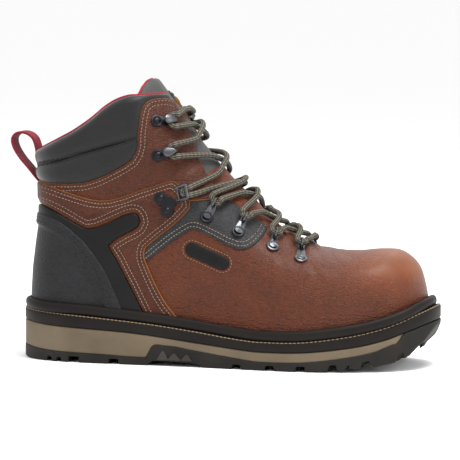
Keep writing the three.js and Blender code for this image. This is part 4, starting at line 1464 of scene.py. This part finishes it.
def lock_shapes(reach, second, frame):
    """The three-lobed plate, its rivets and the slotted bracket that grips the lace."""
    origin, x, y, _, _ = frame
    gap = second - origin
    sx, sy = gap.dot(x), gap.dot(y)
    plate = slab(lobed([(0, 0, 5.0), (sx, sy, 5.0), (reach - 3, sy * 0.1, 5.2),
                        (reach * 0.35, sy * 0.5, 4.8)]), 0.0, 1.2, 0.5)
    rim = [(3.5, 1.0), (3.5, 1.35), (3.2, 1.5), (2.8, 1.4)]
    shapes = [(plate, 0), (rivet(2.6, 0, 0, 1.0), 0), (rivet(2.6, sx, sy, 1.0), 0),
              (lathe(rim, 24), 0), (lathe(rim, 24, (sx, sy, 0)), 0)]
    for side in (-4.9, 4.9):
        cheek = [(reach - 4.5, side * 0.85, 0.9), (reach - 1.5, side, 3.0), (reach + 2, side, 5.4),
                 (reach + 4.8, side, 6.5)]
        shapes.append((rod(curve_through(cheek, 0.6), 1.0, 8), 1))
    for x_at, z_at in ((reach - 2.4, 2.2), (reach + 4.8, 6.5)):
        shapes.append((rod([(x_at, -5.3, z_at), (x_at, 0, z_at), (x_at, 5.3, z_at)], 1.0, 10), 1))
    shapes.append((slab([(reach - 5, -3.6), (reach - 1, -4.4), (reach + 3, -4.2), (reach + 3, 4.2),
                         (reach - 1, 4.4), (reach - 5, 3.6)], 0.3, 1.3, 0.4), 1))
    return shapes


def metal(name, colour, roughness):
    """Plated steel, worn unevenly."""
    material, tree, shader = blank_material(name, {"Base Color": linear(colour), "Metallic": 1})
    place = node(tree, "ShaderNodeTexCoord").outputs["Object"]
    wear = noise(tree, place, 2.5, 4.0).outputs["Fac"]
    roughen(tree, shader, wear, roughness - 0.08, roughness + 0.12)
    return material


DARK_METAL = metal("dark gunmetal plate", "#2b2b2e", 0.36)
GUNMETAL = metal("gunmetal plate", "#58595c", 0.28)
# Near-black metal for the floors of the washers' hollows: painted shade.
HOLLOW_SHADE_METAL = metal("near-black steel, painted hollow shade", "#1a1a1c", 0.5)
lock_seats = list(zip(*sewn_at(LOCK)))
frames = {}
for side_name, inner_side in (("outer", False), ("inner", True)):
    for number, (seat, toward) in enumerate(HOOKS, 1):
        here = seat_frame(seat, toward, inner_side)
        frames["hook", number, inner_side] = here
        fitting(f"hook_{number}_{side_name}", hook_shapes(here[4]), here)
    here = seat_frame(lock_seats[0], lock_seats[2], inner_side)
    other = seat_frame(lock_seats[1], lock_seats[2], inner_side)
    frames["lock", 1, inner_side] = here
    fitting(f"lock_hook_{side_name}", lock_shapes(here[4], other[0], here), here)
    for number, (seat, toward) in enumerate(EYELETS, 1):
        here = seat_frame(seat, toward, inner_side)
        frames["eyelet", number, inner_side] = here
        fitting(f"eyelet_{number}_{side_name}", eyelet_shapes(here[4], number > 2), here)

# ---------------------------------------------------------------- lace
# One round braided lace, criss-crossed over the tongue through the D-rings, under the
# locking hooks' brackets and round the hooks, with a bar at the bottom and one at the top.
LACE_RADIUS = 2.1
BRAID = 7.0  # the length of one turn of a yarn
UP_SLOPE = np.array([-0.668, 0, 0.744])
# places where the strands leave the fittings towards the throat: u, q, height
TURNS = [(7.55, 0.045, 4.2), (6.43, 0.064, 4.2), (5.14, 0.098, 4.4), (4.12, 0.128, 4.7),
         (3.66, 0.19, 4.9), (2.2, 0.165, 5.2), (1.4, 0.105, 5.2)]
LACED = [("eyelet", 4), ("eyelet", 3), ("eyelet", 2), ("eyelet", 1), ("lock", 1), ("hook", 2),
         ("hook", 1)]
# the lace's way into each kind of fitting, in its frame: past its reach, across and out
WAYS = {"hook": [(7.0, -4.6, 4.4), (4.2, -4.5, 3.6), (1.4, -3.3, 3.2), (0.3, 0, 3.2)],
        "lock": [(8.5, -2.9, 4.0), (5.0, -2.25, 3.2), (2.0, -1.9, 3.0), (0.6, 0, 3.0)],
        "eyelet": [(5.2, -3.6, 4.8), (2.4, -3.0, 4.3), (0.9, -1.6, 4.1), (0.5, 0, 4.1)]}
OVER_PEAK, UNDER_PEAK = 7.4, 3.4  # heights over the tongue of the upper and the lower strand


def through(level_number, inner):
    """The lace's way round one fitting, from its lower to its upper side."""
    kind, number = LACED[level_number]
    origin, x, y, z, reach = frames[kind, number, inner]
    up = 1 if y.dot(UP_SLOPE) > 0 else -1
    way = WAYS[kind] + [(a, -b, c) for a, b, c in WAYS[kind][-2::-1]]
    return [origin + (reach + a) * x + b * up * y + c * z for a, b, c in way]


def over_ridge(start, finish, peak, inner):
    """Points from one turn to another on the far side, riding over the tongue."""
    (ua, qa, ha), (ub, qb, hb) = start, finish
    points = []
    for t in np.linspace(0, 1, 9)[2:-2]:
        u = ua + (ub - ua) * t
        q = qa * (1 - t) - qb * t
        height = ha + (hb - ha) * t
        height += (peak - height) * math.exp(-((t - qa / (qa + qb)) / 0.2) ** 2)
        side = (-q if inner else q) % 2
        points.append(on_last(u, side, height + tongue_swell(skin(u, side))))
    return points


def strand(inner, over):
    """One strand from the lowest to the highest fittings, changing sides between them."""
    points = through(0, inner)
    for number in range(1, len(TURNS)):
        peak = OVER_PEAK if over else UNDER_PEAK
        points += over_ridge(TURNS[number - 1], TURNS[number], peak, inner)
        inner, over = not inner, not over
        points += through(number, inner)
    return points


def bar(turn, further, height, peak, inner):
    """A strand straight across the tongue, between the two fittings of one turn."""
    end = (turn[0] + further, turn[1], height)
    return over_ridge(end, end, peak, inner)


def lace_piece():
    # Both strands end at the top hooks of opposite sides.
    route = strand(False, True) + bar(TURNS[-1], -0.22, 5.0, 3.6, False)
    route += strand(True, False)[::-1] + bar(TURNS[0], 0.28, 4.4, UNDER_PEAK, True)
    path = smoothed(curve_through(route, 0.55, closed=True), 3)
    sides = 16
    points, faces = rod(path, LACE_RADIUS, sides, closed=True)
    count = len(path)
    along = np.concatenate([[0], np.cumsum(np.linalg.norm(np.diff(path, axis=0), axis=1))])
    around = np.tile(np.arange(sides) / sides, count)
    run = np.repeat(along, sides)
    turns = run / BRAID
    weave = np.sin(2 * np.pi * (4 * around + turns)) * np.sin(2 * np.pi * (4 * around - turns))
    centres = np.repeat(path, sides, 0)
    points = centres + (points - centres) * (0.985 + 0.02 * weave)[:, None]
    piece = mesh_object("braided_lace", points, faces, ["lace"], angle=80)
    layer = piece.data.uv_layers.new(name="braid")
    corner = np.zeros((len(piece.data.loops), 2))
    vertex = np.zeros(len(piece.data.loops), int)
    piece.data.loops.foreach_get("vertex_index", vertex)
    corner[:, 0] = around[vertex]
    corner[:, 1] = run[vertex] / 10
    by_face = corner.reshape(-1, 4, 2)
    wraps = (by_face[:, :, 0].max(1) - by_face[:, :, 0].min(1)) > 0.5
    by_face[wraps, :, 0] += by_face[wraps, :, 0] < 0.5
    layer.data.foreach_set("uv", by_face.ravel())
    paint(piece, braid_material())


def braid_material():
    """Olive grey polyester braid with light flecks where a pale yarn comes to the top."""
    material, tree, shader = blank_material("grey braided polyester",
                                            {"Roughness": 0.75, "Specular IOR Level": 0.2})
    uv = node(tree, "ShaderNodeUVMap", uv_map="braid")
    parts = node(tree, "ShaderNodeSeparateXYZ", {0: uv.outputs[0]}).outputs
    waves = []
    for sign in (1, -1):
        run = maths(tree, "MULTIPLY", parts["Y"], sign * 2 * math.pi * 10 / BRAID)
        waves.append(maths(tree, "SINE", maths(tree, "MULTIPLY_ADD", parts["X"], 8 * math.pi, run)))
    weave = maths(tree, "MULTIPLY", *waves)
    stripe = maths(tree, "SINE", maths(tree, "MULTIPLY", parts["X"], 16 * math.pi))
    striped = maths(tree, "MULTIPLY_ADD", stripe, 1.5, weave)
    shade = node(tree, "ShaderNodeMapRange", {"Value": striped, "From Min": -2.3, "From Max": 2.4})
    colour = ramp(tree, shade.outputs[0], [(0.1, "#272520"), (0.45, "#434038"), (0.75, "#605c51"),
                                           (0.95, "#7f7a6c")])
    tree.links.new(colour, shader.inputs["Base Color"])
    place = node(tree, "ShaderNodeTexCoord").outputs["Object"]
    yarn = noise(tree, place, 0.35, 2.0).outputs["Fac"]
    emboss(tree, shader, maths(tree, "MULTIPLY_ADD", weave, 0.6, yarn), 0.8, 0.25)
    return material


lace_piece()

# ---------------------------------------------------------------- pull loop
# Red polyester webbing, folded into a loop and sewn in at the back of the collar.
LOOP_ROUTE = [(13.5, 139.4), (12, 147.6), (11, 155), (8.7, 161.3), (4.6, 164.8), (-0.4, 165.9),
              (-5, 164.6), (-7.4, 160.6), (-6, 154.4), (-1.1, 146.8), (4.9, 140), (10, 133.8), (13.5, 130)]
LOOP_THICKNESS = 1.8


def loop_piece():
    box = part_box("pull_loop")
    middle = (box[0][1] + box[1][1]) / 2 * 1000 - SHIFT[1]
    route = curve_through(LOOP_ROUTE, 0.9)
    way = unit(np.gradient(route, axis=0))
    side = np.column_stack([-way[:, 1], way[:, 0]])
    half = LOOP_THICKNESS / 2
    edge = [(-7.5, -0.3), (-7.2, -0.85), (-6.6, -1), (-4, -0.95), (0, -1), (4, -0.95), (6.6, -1),
            (7.2, -0.85), (7.5, -0.3)]
    profile = edge + [(-across, -thick) for across, thick in edge]
    sides = len(profile)
    points = []
    for p, s in zip(route, side):
        for across, thick in profile:
            at = p + s * thick * half
            points.append((at[0], middle + across, at[1]))
    faces = bands(len(route), sides) + ends(len(route), sides)
    piece = mesh_object("webbing_loop", points, faces, ["pull_loop"], angle=50)
    layer = piece.data.uv_layers.new(name="weave")
    run = np.concatenate([[0], np.cumsum(np.linalg.norm(np.diff(route, axis=0), axis=1))])
    vertex = np.zeros(len(piece.data.loops), int)
    piece.data.loops.foreach_get("vertex_index", vertex)
    across = np.array([p[0] for p in profile])[vertex % sides]
    layer.data.foreach_set("uv", np.column_stack([across, run[vertex // sides]]).ravel() / 10)
    outward_faces(piece)
    paint(piece, webbing_material())


def webbing_material():
    """Herringbone polyester webbing, deep red, with painted shade in the ribs' troughs."""
    material, tree, shader = blank_material("deep red webbing",
                                            {"Roughness": 0.7, "Specular IOR Level": 0.25})
    uv = node(tree, "ShaderNodeUVMap", uv_map="weave")
    parts = node(tree, "ShaderNodeSeparateXYZ", {0: uv.outputs[0]}).outputs
    slant = maths(tree, "ADD", maths(tree, "PINGPONG", parts["X"], 0.5), parts["Y"])
    rib = maths(tree, "SINE", maths(tree, "MULTIPLY", slant, 2 * math.pi * 10 / 1.1))
    shade = node(tree, "ShaderNodeMapRange", {"Value": rib, "From Min": -1.0, "From Max": 1.0})
    # The ribs' troughs are painted darker and their crowns lighter: painted shade.
    colour = ramp(tree, shade.outputs[0], [(0.1, "#4e0a16"), (0.7, "#861427")])
    tree.links.new(colour, shader.inputs["Base Color"])
    emboss(tree, shader, shade.outputs[0], 0.7, 0.2)
    return material


loop_piece()

# ---------------------------------------------------------------- badge
# A small plain moulded badge with rounded ends, sewn on the outer side of the quarter.
BADGE = [(126.5, 84.2), (148.5, 74.4)]
BADGE_RADIUS = 4.9


def badge_piece():
    def region(u, q):
        place = drawn(u, q)
        return np.where(q < 1, BADGE_RADIUS - from_line(place, BADGE), -5)

    def top(u, q, f):
        rim = np.exp(-((f - 0.9) / 0.55) ** 2)
        return creased(u, q) + 0.6 + 0.4 * rim
    piece = leather("side_badge", [], region, top, flat(0.0),
                    shoulder=((0, 0.5), (0.2, 0.15), (0.5, 0)), span=(4, 9), step=(0.02, 0.004),
                    extra_levels=(1.3,))
    paint(piece, MOULDED_BLACK, MOULDED_BLACK, MOULDED_BLACK)
    a, b = np.array(BADGE)
    ring = stadium(a, b, BADGE_RADIUS + 1.7, BADGE_RADIUS + 1.7, 20)
    rows = seam(np.vstack([ring, ring[:1]]), creased, pitch=2.3, length=1.7)
    sew("badge_stitching", rows[:1], THREAD_TAN, 0.6)


badge_piece()

# ---------------------------------------------------------------- outsole
# Black rubber: a heel block, a raised arch and a forefoot that turns up into the toe in
# front of the wedge. Bars are moulded round the edge, with blocks over the middle.
# place along the boot, width and depth of each notch between the edge's bars
NOTCHES = [(30, 5, 3.6), (38, 5, 3.4), (50, 10, 4.4), (81, 9, 3.8), (175, 8, 3.4), (200, 8, 3.6),
           (223, 8, 3.8), (246, 7, 4), (257, 4, 2.6), (269, 7, 4.4), (292, 6, 5)]
BLOCK_WIDTH = 15.0
BLOCK_HALF_LENGTH = 4.2
SPINE_ENDS = (34, 276)
FINE_RING = 1440
# place along the boot, half width and height of each raised peak in the arch
ARCH_PEAKS = [(119, 4.6, 11.0), (127.5, 5.2, 9.6), (137, 4.6, 9.0)]
CORNERS = np.array([(-1, -1), (1, -1), (1, 1), (-1, 1)])


def notch_depth(x):
    depth = np.zeros(x.shape)
    for place, width, deep in NOTCHES:
        depth = np.maximum(depth, deep * np.clip((width / 2 - np.abs(x - place)) / 1.1, 0, 1))
    return depth


def outsole_top(x):
    nose = np.maximum(wedge_nose(x), wedge_base(x))
    return np.minimum(under_welt(x), np.where(x < WEDGE_TIP[0], wedge_base(x), nose))


def notched(x):
    return tread(x) + notch_depth(x)


def outsole_piece():
    outline = smooth_ring(OUTLINE, FINE_RING)
    side = ring_normals(outline)
    spine = np.column_stack([np.clip(outline[:, 0], *SPINE_ENDS), 0 * outline[:, 0] - 1])
    rows = []

    def row(height, inset_by=0.0, share=0.0):
        edge = outline - side * inset_by
        edge = edge + (spine - edge) * share
        rows.append(np.column_stack([edge, height(edge[:, 0])]))
    for share in (0.999, 0.6, 0.3):
        row(lambda x: outsole_top(x) - 0.6, 2, share)
    row(outsole_top, 1.4)
    row(lambda x: outsole_top(x) - 0.1, 0.8)
    row(lambda x: outsole_top(x) - 0.6, 0.4)
    row(lambda x: np.maximum(notched(x) + 1.2, 0) * 0.5 + outsole_top(x) * 0.5 - 0.3, 0.4)
    row(lambda x: notched(x) + 0.8, 0.4)
    row(lambda x: notched(x) + 0.25, 0.6)
    row(notched, 1.2)
    row(notched, 9.6)
    row(lambda x: tread(x) + np.maximum(notch_depth(x), 0.4), 10.2)
    row(lambda x: tread(x) + 3.2, 10.6)
    for share in (0.3, 0.6, 0.999):
        row(lambda x: tread(x) + 3.2, 10.8, share)
    faces = bands(len(rows), FINE_RING)
    points = np.vstack(rows)
    start = len(points)
    blocks = []
    for x in list(np.arange(22, 96, 13.5)) + list(np.arange(160, 262, 14)):
        for y, turn in ((-9.5, 0.35), (9.5, -0.35)):
            across, along = (CORNERS * (BLOCK_WIDTH / 2, BLOCK_HALF_LENGTH)).T
            blocks.append(np.column_stack([x + along + across * turn, y - 1 + across]))
    extra = []
    for block in blocks:
        middle = block.mean(0)
        low = block * 0.94 + middle * 0.06
        z_low, z_high = float(tread(block[:, 0]).min()) + 0.1, tread(block[:, 0]) + 3.8
        base = start + len(extra) * 8
        extra.append(np.vstack([np.column_stack([low, np.full(4, z_low)]),
                                np.column_stack([block, z_high])]))
        faces += [(base + 3, base + 2, base + 1, base), (base + 4, base + 5, base + 6, base + 7)]
        faces += [(base + i, base + (i + 1) % 4, base + 4 + (i + 1) % 4, base + 4 + i) for i in range(4)]
    count_black = len(faces)
    for place, half, peak in ARCH_PEAKS:
        for inner_side in (False, True):
            base = start + sum(len(block) for block in extra)
            prism = []
            for out in (0.7, -2.5):
                for x, z in ((place - half, 4.6), (place + half, 4.4), (place + 0.8, peak),
                             (place - 0.8, peak)):
                    other_side = (outline[:, 1] > 0) != inner_side
                    on_wall = np.argmin(np.abs(outline[:, 0] - x) + 1e3 * other_side)
                    prism.append(np.append(outline[on_wall] + side[on_wall] * (out - 0.4), z))
            extra.append(np.array(prism))
            faces += [(base, base + 1, base + 2, base + 3), (base + 7, base + 6, base + 5, base + 4)]
            faces += [(base + i, base + 4 + i, base + 4 + (i + 1) % 4, base + (i + 1) % 4)
                      for i in range(4)]
    piece = mesh_object("outsole_rubber_unit", np.vstack([points] + extra), faces,
                        ["outsole"], angle=35)
    indices = [0] * count_black + [1] * (len(faces) - count_black)
    piece.data.polygons.foreach_set("material_index", indices)
    outward_faces(piece)
    paint(piece, OUTSOLE_RUBBER, GREY_RUBBER)


OUTSOLE_RUBBER = moulded("black carbon rubber", "#191715", "#262320", 0.6, 0.6, 0.06)
GREY_RUBBER = moulded("charcoal rubber", "#33302d", "#403c38", 0.7, 0.4, 0.06)
outsole_piece()

# ---------------------------------------------------------------- insole
# A removable footbed of black foam and fabric, lying on the board inside.
FOOTBED = [(0.999, 2.5), (0.7, 2.4), (0.4, 2.0), (0.15, 1.2), (0.03, 0.4), (0, 0.9), (0, 3.0),
           (0.999, 4.6)]  # share of the way to the middle, and drop below the rim


def insole_piece():
    line = foot_line(0.5, -4.2, 200)
    spine = np.column_stack([np.clip(line[:, 0], *SPINE_ENDS), 0 * line[:, 0] - 1])
    rows = []
    for share, drop in FOOTBED:
        edge = line[:, :2] + (spine - line[:, :2]) * share
        rows.append(np.column_stack([edge, welt_top(edge[:, 0]) + 1.0 - drop]))
    faces = bands(len(rows), len(line))
    piece = mesh_object("footbed", np.vstack(rows), faces, ["insole"], angle=50)
    outward_faces(piece)
    paint(piece, LINING)


insole_piece()
